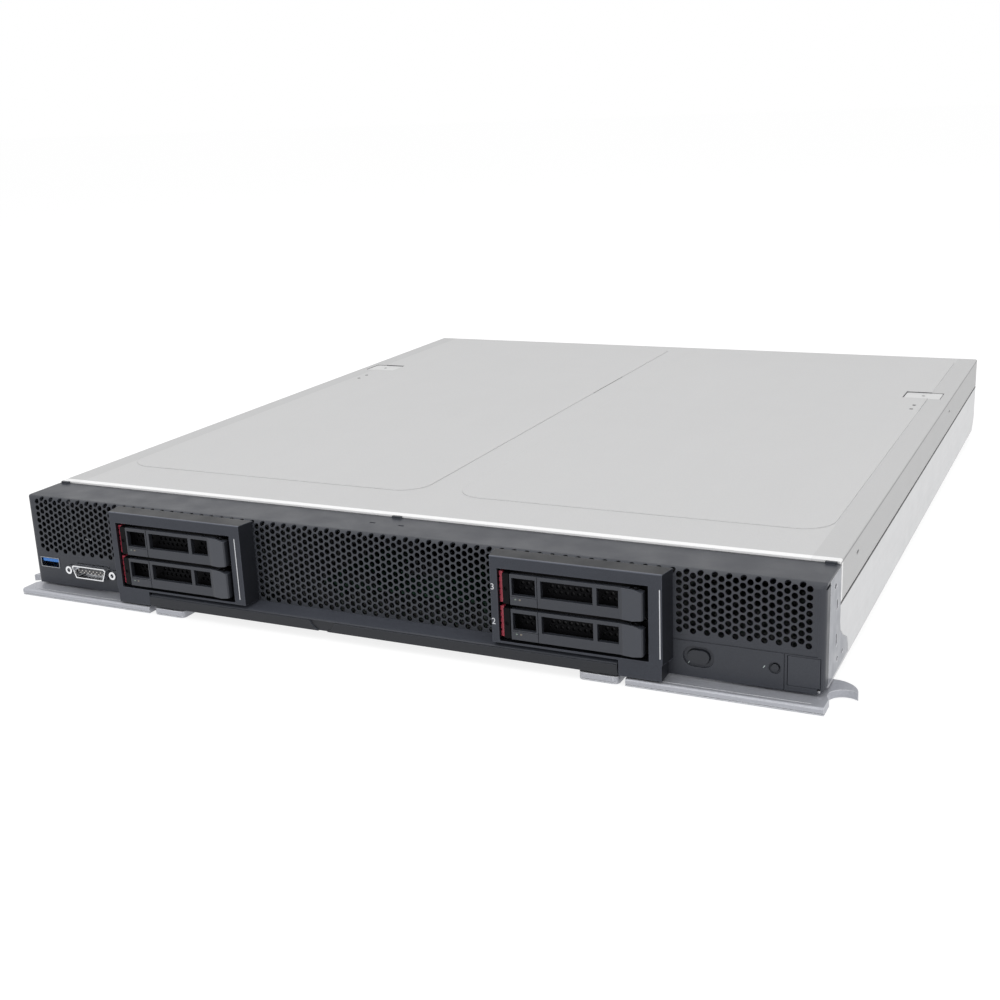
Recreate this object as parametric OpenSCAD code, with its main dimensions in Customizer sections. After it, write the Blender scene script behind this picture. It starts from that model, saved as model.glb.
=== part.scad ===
// Full-width blade server: a flat steel chassis with a perforated bezel, two
// proud drive cages with four hot-swap drives, cam levers and a sliding cover.
// Local axes: X across the front, Y from the grille face to the rear, Z up
// from the chassis underside. placed() moves them to the part's own origin.

/* [Chassis] */
// Width over the sides
chassis_w = 435; // [433:1:437]
// Grille face to the rear edge of the cover
chassis_d = 490; // [486:1:494]
// Underside to the top of the cover's borders
cover_h = 50.7; // [50.7:0.1:51.2]
// Sheet thickness of tray and front frame
sheet = 1.2; // [1:0.1:1.3]
// Height of the seam between tray sides and cover flanges
seam_z = 31; // [29:0.5:33]
// Rear wall, measured from the rear edge
rear_recess = 10; // [8:1:12]

/* [Bezel] */
// Depth of the top rail behind the grille face
rail_d = 27; // [26:0.5:27]
// Height of the top rail's upper face
rail_h = 49.6; // [49.4:0.1:49.6]
// Thickness of the moulded bezel walls
bezel_wall = 1.6; // [1.4:0.1:1.8]
// Outer radius of the bend from face to top rail
bend_r = 3; // [2.6:0.1:3.2]
// Diameter of the vent holes
vent_d = 2.8; // [2:0.1:2.8]
// Distance between neighbouring vent holes
vent_pitch = 3.63; // [3.5:0.01:3.7]
// Height of the lowest vent row
vent_low = 8.8; // [8.7:0.1:9]
// Width of the bezel's end posts
post_w = 2.6; // [2.2:0.1:2.8]

/* [Drive cages] */
// How far the cage fronts stand proud of the grille
cage_reach = 10; // [9:0.5:11]
// Width of a cage front
cage_w = 81.7; // [81:0.1:82]
// Left edge of the left cage
cage_left_x = -151.5; // [-153:0.5:-150]
// Left edge of the right cage
cage_right_x = 68; // [67:0.5:69]
// Lower edge of a cage front
cage_low = 7.6; // [7.4:0.1:7.8]
// Upper edge of a cage front
cage_high = 49.5; // [49.2:0.1:49.5]
// Height of a drive tray
tray_h = 15.1; // [15:0.1:15.2]
// Distance between the two trays of a cage
tray_pitch = 16.8; // [16.8:0.1:17]
// Length of a 2.5 inch drive
drive_l = 100.2; // [98:0.1:101]

/* [Levers] */
// Thickness of the cam levers
lever_t = 3.5; // [3:0.1:3.5]
// Inner end of the grip, from the mid-plane
lever_in = 132.3; // [132:0.1:134]
// Outer end of the grip, from the mid-plane
lever_out = 219.8; // [219:0.1:220]
// Lever pivot, from the mid-plane
pivot_x = 204; // [202:0.5:206]
// Lever pivot, from the grille face
pivot_y = 12; // [11:0.5:13]
// Radius of the pivot's shoulder
pivot_r = 2.5; // [2:0.1:3]

/* [Inside] */
// Height of the system board's lower face
board_z = 5; // [4.5:0.5:5.5]
// Thickness of the printed circuit boards
pcb = 1.6; // [1.2:0.1:2]
// Distance between memory modules
dimm_pitch = 8; // [8:0.1:8.2]
// Modules on each side of a processor
dimms_per_side = 6; // [4:1:6]

/* [Hidden] */
$fn = 32;

steel = [0.78, 0.79, 0.8];
dark = [0.2, 0.21, 0.23];
board_green = [0.12, 0.3, 0.18];
black = [0.1, 0.1, 0.11];

// Levers hang under the chassis, a small gap below it
lever_gap = 1;
lever_low = -lever_gap - lever_t;

half_w = chassis_w / 2;
flange_t = 1;
wall_inset = 1.5;
wall_top = cover_h - 1.4;
cover_t = 1.1;
field_rise = 0.3;
cover_front = rail_d + 0.4;
rear_wall_y = chassis_d - rear_recess;

// Where the silver cheeks end and the tray sides begin
cheek_y = 29.3;
lever_latch_x = 119.6;
cheek_foot_y = 48.5;

bend_z = rail_h - bend_r;
rail_t = 1.4;
bend_steps = 5;
vent_column = vent_pitch * sqrt(3) / 2;
vent_columns = floor((half_w - post_w - vent_d / 2) / vent_column);
side_grille_z = 17.6;
centre_grille_z = 7.2;
grille_t = 1.2;
post_edge = half_w - post_w - 0.4;
cage_flare = 1.7;
panel_tuck = 1.9;

// Openings of a cage, measured from its left edge
mouth_l = 3.5;
mouth_r = 75.5;
mouth_low = 8.6;
mouth_high = 43.8;
plate_t = 1.5;
tray_l = 3.9;
tray_r = 75.1;
bay_l = tray_l - 0.7;
bay_r = tray_r + 0.7;
bay_d = 115;
tray_low = 10.2;
tray_wall_y = -4.5;
drive_back = drive_l - 6;

function tray_z(level) = tray_low + level * tray_pitch;

// Tray handle, measured from the cage's left edge
handle_l = 10;
handle_r = 73.6;
handle_face = -10.5;
handle_t = 2.5;
handle_bulge = 1.8;
handle_pivot_x = 69.5;
handle_pivot_y = -8.9;
handle_pin_r = 0.8;
handle_ear_t = 0.7;
window_low = 4.9;
window_high = 13.2;
ear_r = 1.4;
latch_l = 3.8;
latch_w = 1.8;
tongue_z = [5.6, 9.6];

latch_x = 200;
latch_y = 361;
latch_size = [22.6, 17];

board_top = board_z + pcb;
board_front = 122;
board_rear = rear_wall_y - 4;
cpu_x = 108;
cpu_rows = [200, 355];
cpu_size = [58, 76];
sink_size = [80, 104];
dimm_l = 133.35;
dimm_h = 31.2;
dimm_t = 1.4;
socket_h = 7;
first_dimm = sink_size[0] / 2 + 6;

button_x = 162.8;
button_z = 9.7;
service_x = 196.5;
service_z = 9.6;
tab_l = 202;
tab_r = half_w - bezel_wall - 0.2;
tab_low = 2.6;
tab_high = 16;
card_x = 210.4;
card_t = 1.2;
card_back = 58;
panel_high = 16.9;

// Helpers -----------------------------------------------------------------

// Moves local axes to the part's origin: middle of the box, lowest point
module placed() {
    front_most = handle_face - handle_bulge;
    translate([0, -(chassis_d + front_most) / 2, -lever_low]) children();
}

// Extrudes a profile drawn in (X, Z) from y0 to y1
module along_y(y0, y1) {
    translate([0, y1, 0]) rotate([90, 0, 0]) linear_extrude(y1 - y0) children();
}

// Extrudes a profile drawn in (Y, Z) from x0 to x1
module along_x(x0, x1) {
    translate([x0, 0, 0]) rotate([90, 0, 90]) linear_extrude(x1 - x0) children();
}

// Extrudes a plan drawn in (X, Y) from z0 to z1
module upright(z0, z1) {
    translate([0, 0, z0]) linear_extrude(z1 - z0) children();
}

// Box between two corners
module block(low, high) {
    translate(low) cube([high[0] - low[0], high[1] - low[1], high[2] - low[2]]);
}

// Flat rectangle between two corners
module rect(low, high) {
    translate(low) square([high[0] - low[0], high[1] - low[1]]);
}

// Rectangle with round corners
module round_rect(low, high, r) {
    rect([low[0] + r, low[1]], [high[0] - r, high[1]]);
    rect([low[0], low[1] + r], [high[0], high[1] - r]);
    for (x = [low[0] + r, high[0] - r], y = [low[1] + r, high[1] - r])
        translate([x, y]) circle(r);
}

// Slot with round ends, centred
module pill(length, height) {
    square([length - height, height], center = true);
    for (side = [-1, 1]) translate([side * (length - height) / 2, 0]) circle(height / 2);
}

// A shape and its mirror image on the other side
module both_sides() {
    children();
    mirror([1, 0, 0]) children();
}

// Chassis -----------------------------------------------------------------

// Side outline of the front cheek, in (Y, Z): straight down, then an S sweep
module cheek_sweep(front, top) {
    polygon([
        [front, 0], [cheek_foot_y, 0], [cheek_foot_y - 0.6, 4],
        [cheek_foot_y - 3.2, 8], [cheek_y + 6.5, 12.8], [cheek_y + 1.8, 16.6],
        [cheek_y, 20.6], [cheek_y, top], [front, top],
    ]);
}

// Cross-section of the tray: floor and two joggled sides
module tray_section() {
    rect([-half_w, 0], [half_w, sheet]);
    both_sides() {
        rect([half_w - sheet, 0], [half_w, seam_z]);
        rect([half_w - wall_inset - sheet, seam_z - sheet], [half_w, seam_z]);
        rect([half_w - wall_inset - sheet, seam_z - sheet], [half_w - wall_inset, wall_top]);
    }
}

// Standoffs of the system board, right half; their screws are M3
standoffs = [
    [10, 130], [10, 277], [40, 450], [100, 130], [100, 277], [100, 428],
    [204, 130], [204, 277], [204, 440],
];
screw_r = 1.5;

module at_standoffs() {
    for (side = [-1, 1], spot = standoffs) translate([side * spot[0], spot[1], 0]) children();
}

module connector_windows() {
    both_sides() {
        rect([160.5, board_top - 1], [209, board_top + 19]);
        rect([67.5, 20], [142.5, 40]);
    }
    rect([-27.5, board_top - 1], [27.5, board_top + 15]);
}

module rear_vents() {
    for (column = [0:6], row = [0:2])
        both_sides() translate([8 + column * 8.4, 26 + row * 6.5]) pill(7, 3.4);
    for (column = [0:6]) both_sides()
        translate([152 + column * 9, 38]) pill(7, 3.4);
}

module chassis_tray() placed() color(steel) {
    difference() {
        along_y(bezel_wall, chassis_d) tray_section();
        // the front cheeks take over from the tray sides
        both_sides() along_x(half_w - wall_inset - sheet - 1, half_w + 1)
            translate([0, sheet]) cheek_sweep(-1, cover_h);
        // room for the bezel's end posts
        both_sides() block([half_w - bezel_wall, 0, -1], [half_w + 1, 8, sheet + 1]);
        // eased lower rear corners
        both_sides() along_x(half_w - 6, half_w + 1)
            polygon([[chassis_d - 9, -1], [chassis_d + 1, -1], [chassis_d + 1, 9]]);
        both_sides() translate([pivot_x, pivot_y, -1])
            cylinder(r = pivot_r + 0.3, h = sheet + 2);
        both_sides() block([lever_latch_x - 6, 6.4, -1], [lever_latch_x + 3.2, 10.6, sheet + 1]);
        // drains and tooling holes along the floor
        for (y = [150, 240, 330, 420]) both_sides() translate([60, y, -1])
            cylinder(r = 2, h = sheet + 2);
    }
    difference() {
        along_y(rear_wall_y - sheet, rear_wall_y)
            rect([-half_w + wall_inset + sheet, sheet], [half_w - wall_inset - sheet, wall_top - 1]);
        along_y(rear_wall_y - sheet - 1, rear_wall_y + 1) {
            connector_windows();
            rear_vents();
        }
    }
    difference() {
        at_standoffs() cylinder(r = 3.2, h = board_z);
        at_standoffs() translate([0, 0, sheet]) cylinder(r = screw_r + 0.3, h = board_z);
    }
}

// Pressed recesses in the outside of a cheek
module cheek_holes() {
    translate([18.2, 42.7]) pill(3.4, 2.4);
    translate([22.5, 32.9]) rotate(90) pill(5, 2.2);
    translate([22.4, 16.5]) rotate(90) pill(6, 2.2);
    translate([35.7, 6.2]) circle(1.3);
    translate([25.2, 6.8]) circle(1.3);
}

module front_frame() placed() color([0.68, 0.69, 0.72]) {
    rail_low = rail_h - rail_t - sheet;
    both_sides() difference() {
        along_x(half_w - sheet, half_w) intersection() {
            translate([-0.4, sheet]) cheek_sweep(8.6, rail_low);
            rect([8, sheet], [60, rail_low + sheet]);
        }
        along_x(half_w - 0.8, half_w + 1) cheek_holes();
    }
    difference() {
        block([-half_w, 8.2, rail_low], [half_w, rail_d, rail_low + sheet]);
        for (x = [-180:30:180]) translate([x, 18, rail_low - 1]) cylinder(r = 2.2, h = sheet + 2);
    }
}

// Bezel -------------------------------------------------------------------

// Plan of the whole bezel with its round front corners
module bezel_plan() {
    rect([-half_w, bend_r], [half_w, rail_d]);
    rect([-half_w + bend_r, 0], [half_w - bend_r, rail_d]);
    both_sides() translate([half_w - bend_r, bend_r]) circle(bend_r);
}

// Points of the bend at a radius, from the rail's top down to the face
function bend_points(r) =
    [for (step = [0:bend_steps]) let (a = 90 + step * 90 / bend_steps)
        [bend_r + r * cos(a), bend_z + r * sin(a)]];

// Points of the same arc, from the face up to the rail's top
function bend_points_up(r) =
    [for (step = [0:bend_steps]) let (a = 180 - step * 90 / bend_steps)
        [bend_r + r * cos(a), bend_z + r * sin(a)]];

// Top rail in (Y, Z): the face bends back into the rail
module rail_section() {
    polygon(concat(
        [[rail_d, rail_h]], bend_points(bend_r),
        bend_points_up(bend_r - rail_t), [[rail_d, rail_h - rail_t]]
    ));
}

function column_is_odd(column) = abs(column) % 2 == 1;

// Vents round the bend: two staggered rows carry the grille's pattern on, square
// to the bend's surface. arc is the way of a vent's centre round the bend.
module bend_vents() {
    for (column = [-vent_columns:vent_columns]) {
        arc = vent_low + (column_is_odd(column) ? 10.5 : 11) * vent_pitch - bend_z;
        translate([column * vent_column, bend_r, bend_z])
            rotate([90 - arc / bend_r * 180 / PI, 0, 0]) cylinder(d = vent_d, h = bend_r + 1);
    }
}

module bezel_frame() placed() color(dark) {
    difference() {
        intersection() {
            along_x(-half_w, half_w) rail_section();
            upright(0, rail_h) bezel_plan();
        }
        bend_vents();
        for (x = [-8, 8]) block([x - 1.6, 15.4, rail_h - 2], [x + 1.6, 16.6, rail_h + 1]);
    }
    // end posts with eased lower corners
    difference() {
        upright(0, bend_z) intersection() {
            bezel_plan();
            union() both_sides() {
                rect([half_w - bezel_wall, 0], [half_w, 8]);
                rect([post_edge, 0], [half_w, bezel_wall]);
            }
        }
        both_sides() along_y(-1, 9) polygon([[half_w - 3, -1], [half_w + 1, -1], [half_w + 1, 3]]);
        // the label tab reaches to the right post's side wall
        block([post_edge - 1, -1, -1], [half_w - bezel_wall, bezel_wall + 0.1, tab_high + 0.2]);
    }
    // small tabs that stand in front of the cover's lip
    for (x = [-half_w + 4, 0, half_w - 4])
        block([x - 2.5, rail_d - 1.4, rail_h - 0.4], [x + 2.5, rail_d, cover_h]);
}

// Vents of a flat grille: staggered columns, whole rows between two heights
module vent_field(left, right, low) {
    for (column = [-vent_columns:vent_columns], row = [0:10]) {
        x = column * vent_column;
        z = vent_low + row * vent_pitch + (column_is_odd(column) ? vent_pitch / 2 : 0);
        if (x > left && x < right && z > low) translate([x, z]) circle(d = vent_d);
    }
}

module grille(left, right, low, clear_left, clear_right) {
    along_y(0, grille_t) difference() {
        rect([left, low], [right, bend_z]);
        vent_field(clear_left, clear_right, low + 1.2);
    }
}

module grille_left() placed() color(dark)
    grille(-post_edge, cage_left_x + panel_tuck, side_grille_z,
        -half_w, cage_left_x - cage_flare - 0.5);

module grille_centre() placed() color(dark)
    grille(cage_left_x + cage_w - panel_tuck, cage_right_x + panel_tuck, centre_grille_z,
        cage_left_x + cage_w + 0.5, cage_right_x - 0.5);

module grille_right() placed() color(dark)
    grille(cage_right_x + cage_w - panel_tuck, post_edge, side_grille_z + 1.8,
        cage_right_x + cage_w + cage_flare + 0.5, half_w);

usb = [-206.7, 12.3];
usb_size = [13.1, 5.7];
console = [-176.3, 10.4];
console_w = 23.2;
console_h = 7;
contact_w = 18.8;
jackscrew_gap = 30;
jackscrew_r = 2.2;

// D outline, wide side up
module d_outline(width, height, grow) {
    w = width / 2 + grow;
    h = height / 2 + grow;
    polygon([[-w + 1, h], [w - 1, h], [w, h - 1], [w - 2.2, -h], [-w + 2.2, -h], [-w, h - 1]]);
}

module port_panel() placed() color(dark) along_y(0, bezel_wall) difference() {
    polygon([
        [-post_edge, side_grille_z], [-post_edge, 0], [cage_left_x + panel_tuck, 0],
        [cage_left_x + panel_tuck, side_grille_z],
    ]);
    translate(usb) square(usb_size, center = true);
    translate(console) d_outline(console_w, console_h, 0.2);
    for (side = [-1, 1]) translate(console + [side * jackscrew_gap / 2, 0])
        circle(jackscrew_r + 0.3);
}

module usb_port() placed() color([0.7, 0.71, 0.73]) {
    translate([usb[0], 0, usb[1]]) {
        along_y(-0.3, 14) difference() {
            square(usb_size, center = true);
            square(usb_size - [0.7, 0.7], center = true);
        }
        block([-6.2, 12, -2.5], [6.2, 14, 2.5]);
    }
    // contact tongue
    color([0.1, 0.4, 0.8]) translate([usb[0], 0, usb[1]])
        block([-5.6, 0.6, 0.2], [5.6, 12, 2]);
}

module console_connector() placed() color([0.8, 0.8, 0.81]) {
    translate([console[0], 0, console[1]]) {
        along_y(-4, bezel_wall) difference() {
            d_outline(console_w, console_h, 0);
            d_outline(console_w, console_h, -0.6);
        }
        block([-contact_w / 2, -2, -1.1], [contact_w / 2, bezel_wall, 0.9]);
        block([-18.5, bezel_wall, -5], [18.5, bezel_wall + 9, 5]);
        for (side = [-1, 1]) translate([side * jackscrew_gap / 2, 0, 0])
            rotate([90, 0, 0]) difference() {
                translate([0, 0, -bezel_wall]) cylinder(r = jackscrew_r, h = 4.6);
                translate([0, 0, -2.6]) cylinder(r = 1.1, h = 6.6);
            }
    }
}

module operator_panel() placed() color(dark) {
    left = cage_right_x + cage_w - panel_tuck;
    top = side_grille_z + 1.8;
    difference() {
        along_y(0, bezel_wall) rect([left, 0], [post_edge, top]);
        // seam line above the buttons
        along_y(-1, 0.4) rect([left - 1, panel_high - 0.25], [post_edge + 1, panel_high + 0.25]);
        along_y(-1, 0.4) rect([tab_l - 1.7, -1], [tab_l - 1.2, panel_high]);
        along_y(-1, 1) translate([button_x, button_z]) pill(14.2, 9.6);
        along_y(-1, bezel_wall + 1) translate([button_x, button_z]) pill(10.4, 6.8);
        along_y(-1, 0.7) translate([service_x, service_z]) circle(2.7);
        along_y(-1, bezel_wall + 1) translate([service_x, service_z]) circle(2);
        along_y(-1, bezel_wall + 1)
            rect([tab_l - 0.3, tab_low - 0.2], [post_edge + 1, tab_high + 0.2]);
    }
    // rails above and below the card of the label tab
    for (z = [[sheet, tab_low - 0.2], [tab_high - 1.4, tab_high + 1.4]])
        block([card_x - 1.2, bezel_wall, z[0]], [card_x + card_t + 1.8, card_back - 2, z[1]]);
}

module power_button() placed() color(dark) {
    translate([button_x, 0, button_z]) {
        along_y(-0.5, 4) pill(9.8, 6.2);
        along_y(bezel_wall + 0.3, bezel_wall + 1.3) pill(12.4, 8.8);
    }
}

module service_button() placed() color(dark) {
    translate([service_x, 0, service_z]) {
        along_y(-0.1, 4) circle(1.7);
        along_y(bezel_wall + 0.3, bezel_wall + 1.3) circle(2.8);
    }
}

module label_tab() placed() color(dark) {
    block([tab_l, 0, tab_low], [tab_r, bezel_wall, tab_high]);
    block([card_x, bezel_wall, tab_low], [card_x + card_t, card_back, tab_high - 1.6]);
}

// Lower lip: a shelf that swells forward from the grille, then a short face
lip_l = cage_left_x + 20.6;
lip_r = 128.6;

module lip_section() {
    difference() {
        polygon([[-cage_reach, 0], [-cage_reach, 5.2], [-cage_reach + 0.8, 5.8],
            [-3, 6.6], [0, 7.2], [bezel_wall, 7.2], [bezel_wall, 0]]);
        polygon([[-cage_reach + 1.4, -1], [-cage_reach + 1.4, 4.4],
            [-3, 5.2], [0, 5.7], [0.4, -1]]);
        rect([-cage_reach - 1, 4.9], [-cage_reach + 0.5, 5.3]);
    }
}

module lower_lip() placed() color(dark) difference() {
    along_x(lip_l, lip_r) lip_section();
    // finger scoop
    along_y(-cage_reach - 1, -cage_reach + 0.9) intersection() {
        translate([-25, 7.2]) circle(7.6);
        rect([-33, 0], [-17, 4.9]);
    }
}

// Drive cages ---------------------------------------------------------------

// Plan of a cage front: its sides flare towards the grille
module cage_plan() {
    polygon([[0, -cage_reach], [cage_w, -cage_reach],
        [cage_w + cage_flare, 0], [-cage_flare, 0]]);
}

// Front of a drive cage with the foot that covers the lip's end
module cage_front(x, foot_l) placed() color(dark) translate([x, 0, 0]) difference() {
    union() {
        upright(cage_low, cage_high) cage_plan();
        block([foot_l, -cage_reach, 0], [foot_l + 20, 0, cage_low]);
    }
    block([1.8, -cage_reach + plate_t, mouth_low], [cage_w - 1.8, 1, cage_high - 1.6]);
    block([mouth_l, -cage_reach - 1, mouth_low], [mouth_r, 0, mouth_high]);
    block([foot_l + 1.4, -cage_reach + 1.6, -1], [foot_l + 18.6, 1, cage_low - 1.2]);
}

module cage_front_left() cage_front(cage_left_x, 0.4);
module cage_front_right() cage_front(cage_right_x, cage_w - 20.4);

// Sheet-steel bay for two drives, open to the front
module drive_bay(x) placed() color(steel) translate([x, 0, 0]) {
    low = 8.2;
    high = bend_z - 0.2;
    difference() {
        union() {
            along_y(bezel_wall, bay_d) {
                rect([bay_l - 1, sheet], [bay_l, high]);
                rect([bay_r, sheet], [bay_r + 1, high]);
                rect([bay_l, low], [bay_r, low + 1]);
                rect([bay_l, high - 1], [bay_r, high]);
            }
            // ledges that the trays slide on, up to the backplane
            along_y(bezel_wall, bay_d - pcb) for (side = [bay_l, bay_r - 3], level = [0, 1])
                rect([side, tray_z(level) - (level == 0 ? 1 : 1.5)],
                    [side + 3, tray_z(level) - 0.1]);
        }
        // cooling slots in the top and bottom
        upright(0, 60) for (y = [18:16:98], side = [0, 1])
            translate([bay_l + 20 + side * 32, y]) pill(24, 6);
    }
}

module drive_bay_left() drive_bay(cage_left_x);
module drive_bay_right() drive_bay(cage_right_x);

// Board behind the two drives, with a socket for each
module backplane(x) placed() color(board_green) translate([x, 0, 0]) {
    difference() {
        block([bay_l, bay_d - pcb, 11.8], [bay_r, bay_d, bend_z - 1.2]);
        for (level = [0, 1], column = [0:4]) along_y(bay_d - 10, bay_d + 1)
            translate([17 + column * 11, tray_z(level) + 12.6]) pill(8, 3.6);
    }
    // each socket's nose stands in the drive's recess, round its contact tongue
    for (level = [0, 1]) translate([0, 0, tray_z(level)]) difference() {
        union() {
            block([18, drive_back + 0.5, 2], [60, bay_d - pcb, 8]);
            block([21.5, drive_back - 3.4, 2.7], [56.5, drive_back + 1, 7.3]);
        }
        block([22.6, drive_back - 4, 4], [55.4, drive_back + 1, 6]);
    }
}

module backplane_left() backplane(cage_left_x);
module backplane_right() backplane(cage_right_x);

// Carrier: two side rails, a vented front wall and the handle's ears
module tray(x, level) placed() color(black) translate([x, 0, tray_z(level)]) {
    difference() {
        union() {
            block([tray_l, tray_wall_y, 0], [tray_r, tray_wall_y + 1.2, tray_h]);
            for (side = [tray_l, tray_r - 0.6])
                block([side, tray_wall_y, 0], [side + 0.6, drive_back, tray_h - 1]);
            // column beside the latch
            block([6.2, handle_face + 0.4, 0.3], [9.4, tray_wall_y, tray_h - 0.3]);
            // ears that hold the handle's pin
            for (z = [0, tray_h - handle_ear_t]) upright(z, z + handle_ear_t) {
                translate([handle_pivot_x, handle_pivot_y]) circle(ear_r);
                rect([handle_pivot_x - ear_r, handle_pivot_y],
                    [handle_pivot_x + ear_r, tray_wall_y]);
            }
        }
        // air holes behind every window of the handle
        along_y(tray_wall_y - 1, tray_wall_y + 2)
            for (column = [0:16], row = [0:2])
                if (column != 4 && column != 13)
                    translate([12.2 + column * 2.9 + (row % 2) * 1.45, 6.6 + row * 2.5])
                        circle(0.9);
        translate([handle_pivot_x, handle_pivot_y, -1]) cylinder(r = handle_pin_r, h = tray_h + 2);
        // slot for the latch's tongue
        block([tray_l - 1, tray_wall_y - 1, tongue_z[0] - 0.2],
            [latch_l + 1.6, tray_wall_y + 1.1, tongue_z[1] + 0.2]);
        // finger groove in the column
        translate([7.8, handle_face + 0.2, tray_h / 2]) rotate([90, 0, 0])
            cylinder(r = 1, h = 1.6, center = true);
    }
}

module tray_left_lower() tray(cage_left_x, 0);
module tray_left_upper() tray(cage_left_x, 1);
module tray_right_lower() tray(cage_right_x, 0);
module tray_right_upper() tray(cage_right_x, 1);

// 2.5 inch drive: case, lid with a step, and the edge connector
module drive(x, level) placed() color([0.55, 0.56, 0.58]) translate([x, 0, tray_z(level)]) {
    left = tray_l + 0.6;
    right = tray_r - 0.6;
    difference() {
        union() {
            block([left, tray_wall_y + 1.2, 0.2], [right, drive_back, tray_h - 0.6]);
            block([left + 2, tray_wall_y + 3, tray_h - 0.6],
                [right - 2, drive_back - 3, tray_h - 0.2]);
        }
        block([21, drive_back - 4, 2.2], [57, drive_back + 1, 7.8]);
    }
    block([23, drive_back - 4, 4.3], [55, drive_back - 0.5, 5.7]);
}

module drive_left_lower() drive(cage_left_x, 0);
module drive_left_upper() drive(cage_left_x, 1);
module drive_right_lower() drive(cage_right_x, 0);
module drive_right_upper() drive(cage_right_x, 1);

// Plan of a tray handle: flat plate whose hinged end swells forward
module handle_plan() {
    polygon([[handle_l, handle_face], [handle_r - 11, handle_face],
        [handle_r - 9.5, handle_face - 0.4], [handle_r - 0.6, handle_face - handle_bulge],
        [handle_r, handle_face - handle_bulge + 0.6], [handle_r, handle_face + handle_t],
        [handle_l, handle_face + handle_t]]);
}

// Hinged handle with three windows; its pin turns in the tray's ears
module tray_handle(x, level) placed() color(dark) translate([x, 0, tray_z(level)]) {
    difference() {
        upright(0.2, tray_h - 0.2) handle_plan();
        along_y(handle_face - 1, tray_wall_y) {
            for (window = [[10.9, 22.5], [25.1, 50], [51.9, 62]])
                rect([window[0], window_low], [window[1], window_high]);
        }
        // the bar under the first window and the seam beside it
        along_y(handle_face - 1, handle_face + 0.4) {
            rect([23.2, -1], [23.6, tray_h + 1]);
            rect([10.6, 4.2], [23.2, 4.5]);
        }
        // bevelled corners of the swollen end
        for (flip = [0, 1]) translate([0, 0, flip * tray_h]) mirror([0, 0, flip])
            along_y(-20, 0) polygon([[handle_r - 11, -1], [handle_r + 1, -1],
                [handle_r + 1, 1.5], [handle_r - 0.5, 1.1]]);
        // room for the ears
        for (z = [-0.1, tray_h - handle_ear_t - 0.1])
            block([handle_pivot_x - 2.6, handle_pivot_y - ear_r - 0.2, z],
                [handle_r + 1, 0, z + handle_ear_t + 0.2]);
    }
    translate([handle_pivot_x, handle_pivot_y, 0.05])
        cylinder(r = handle_pin_r - 0.05, h = tray_h - 0.1);
}

module tray_handle_left_lower() tray_handle(cage_left_x, 0);
module tray_handle_left_upper() tray_handle(cage_left_x, 1);
module tray_handle_right_lower() tray_handle(cage_right_x, 0);
module tray_handle_right_upper() tray_handle(cage_right_x, 1);

// Sliding latch: a narrow coloured bar with a grip rib
module tray_latch(x, level) placed() color([0.75, 0.25, 0.3]) translate([x, 0, tray_z(level)]) {
    difference() {
        block([latch_l, -8.2, 0.1], [latch_l + latch_w, tray_wall_y - 0.3, tray_h - 0.1]);
        for (z = [3:3:12]) block([latch_l - 1, -9, z], [latch_l + 0.4, -7.4, z + 0.8]);
    }
    // tongue that runs in the tray's front wall
    block([latch_l + 0.6, tray_wall_y - 0.3, tongue_z[0]],
        [latch_l + 1.4, tray_wall_y + 0.9, tongue_z[1]]);
}

module tray_latch_left_lower() tray_latch(cage_left_x, 0);
module tray_latch_left_upper() tray_latch(cage_left_x, 1);
module tray_latch_right_lower() tray_latch(cage_right_x, 0);
module tray_latch_right_upper() tray_latch(cage_right_x, 1);

// Levers --------------------------------------------------------------------

jaw = [225.3, 4.2];
jaw_r = 7;

// Plan of the right lever: grip bar, pivot pad and a hook with a round jaw
module lever_plan() {
    difference() {
        union() {
            rect([lever_in, -cage_reach], [lever_out, 4]);
            translate([pivot_x, pivot_y]) circle(11);
            rect([pivot_x - 11, 0], [pivot_x + 11, pivot_y]);
            rect([pivot_x, 4], [218, 20.5]);
            translate([218, 8.5]) circle(12);
            polygon([[pivot_x - 10, 16], [pivot_x - 34, 4], [pivot_x, 4]]);
        }
        translate(jaw) circle(jaw_r);
        rect([lever_out, -cage_reach - 1], [240, 7]);
    }
}

module lever() placed() color([0.62, 0.63, 0.65]) {
    head_z = lever_low + 1.7;
    difference() {
        upright(lever_low, -lever_gap) lever_plan();
        // rounded top edge and a shallow groove along the front of the grip
        along_x(lever_in - 1, lever_out + 1) {
            polygon([[-cage_reach - 1, -lever_gap - 0.7], [-cage_reach, -lever_gap - 0.7],
                [-cage_reach + 0.4, -lever_gap - 0.2], [-cage_reach + 0.9, -lever_gap],
                [-cage_reach + 0.9, 0], [-cage_reach - 1, 0]]);
            rect([-cage_reach - 1, lever_low + 0.6], [-cage_reach + 0.5, lever_low + 1]);
        }
        upright(-lever_gap - 0.5, 0)
            rect([lever_in + 4, -cage_reach + 2.2], [lever_out - 6, -cage_reach + 2.8]);
        translate([pivot_x, pivot_y, lever_low - 1]) cylinder(r = pivot_r + 0.05, h = lever_t + 2);
        translate([pivot_x, pivot_y, lever_low - 1]) cylinder(r = 4.8, h = head_z - lever_low + 1);
    }
}

module lever_right() lever();
module lever_left() mirror([1, 0, 0]) lever();

// Shoulder screws: head in the lever, shoulder through it, nut on the floor
module lever_pivots() placed() color([0.7, 0.7, 0.71]) both_sides()
    translate([pivot_x, pivot_y, 0]) difference() {
        union() {
            translate([0, 0, lever_low + 0.1]) cylinder(r = 4.4, h = 1.5);
            translate([0, 0, lever_low + 0.5]) cylinder(r = pivot_r, h = 3 - lever_low);
            translate([0, 0, -lever_gap + 0.05]) cylinder(r = 5, h = lever_gap - 0.05);
            translate([0, 0, sheet]) cylinder(r = 4, h = 2.2, $fn = 6);
        }
        translate([0, 0, lever_low]) cylinder(r = 1.5, h = 1, $fn = 6);
    }

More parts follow.
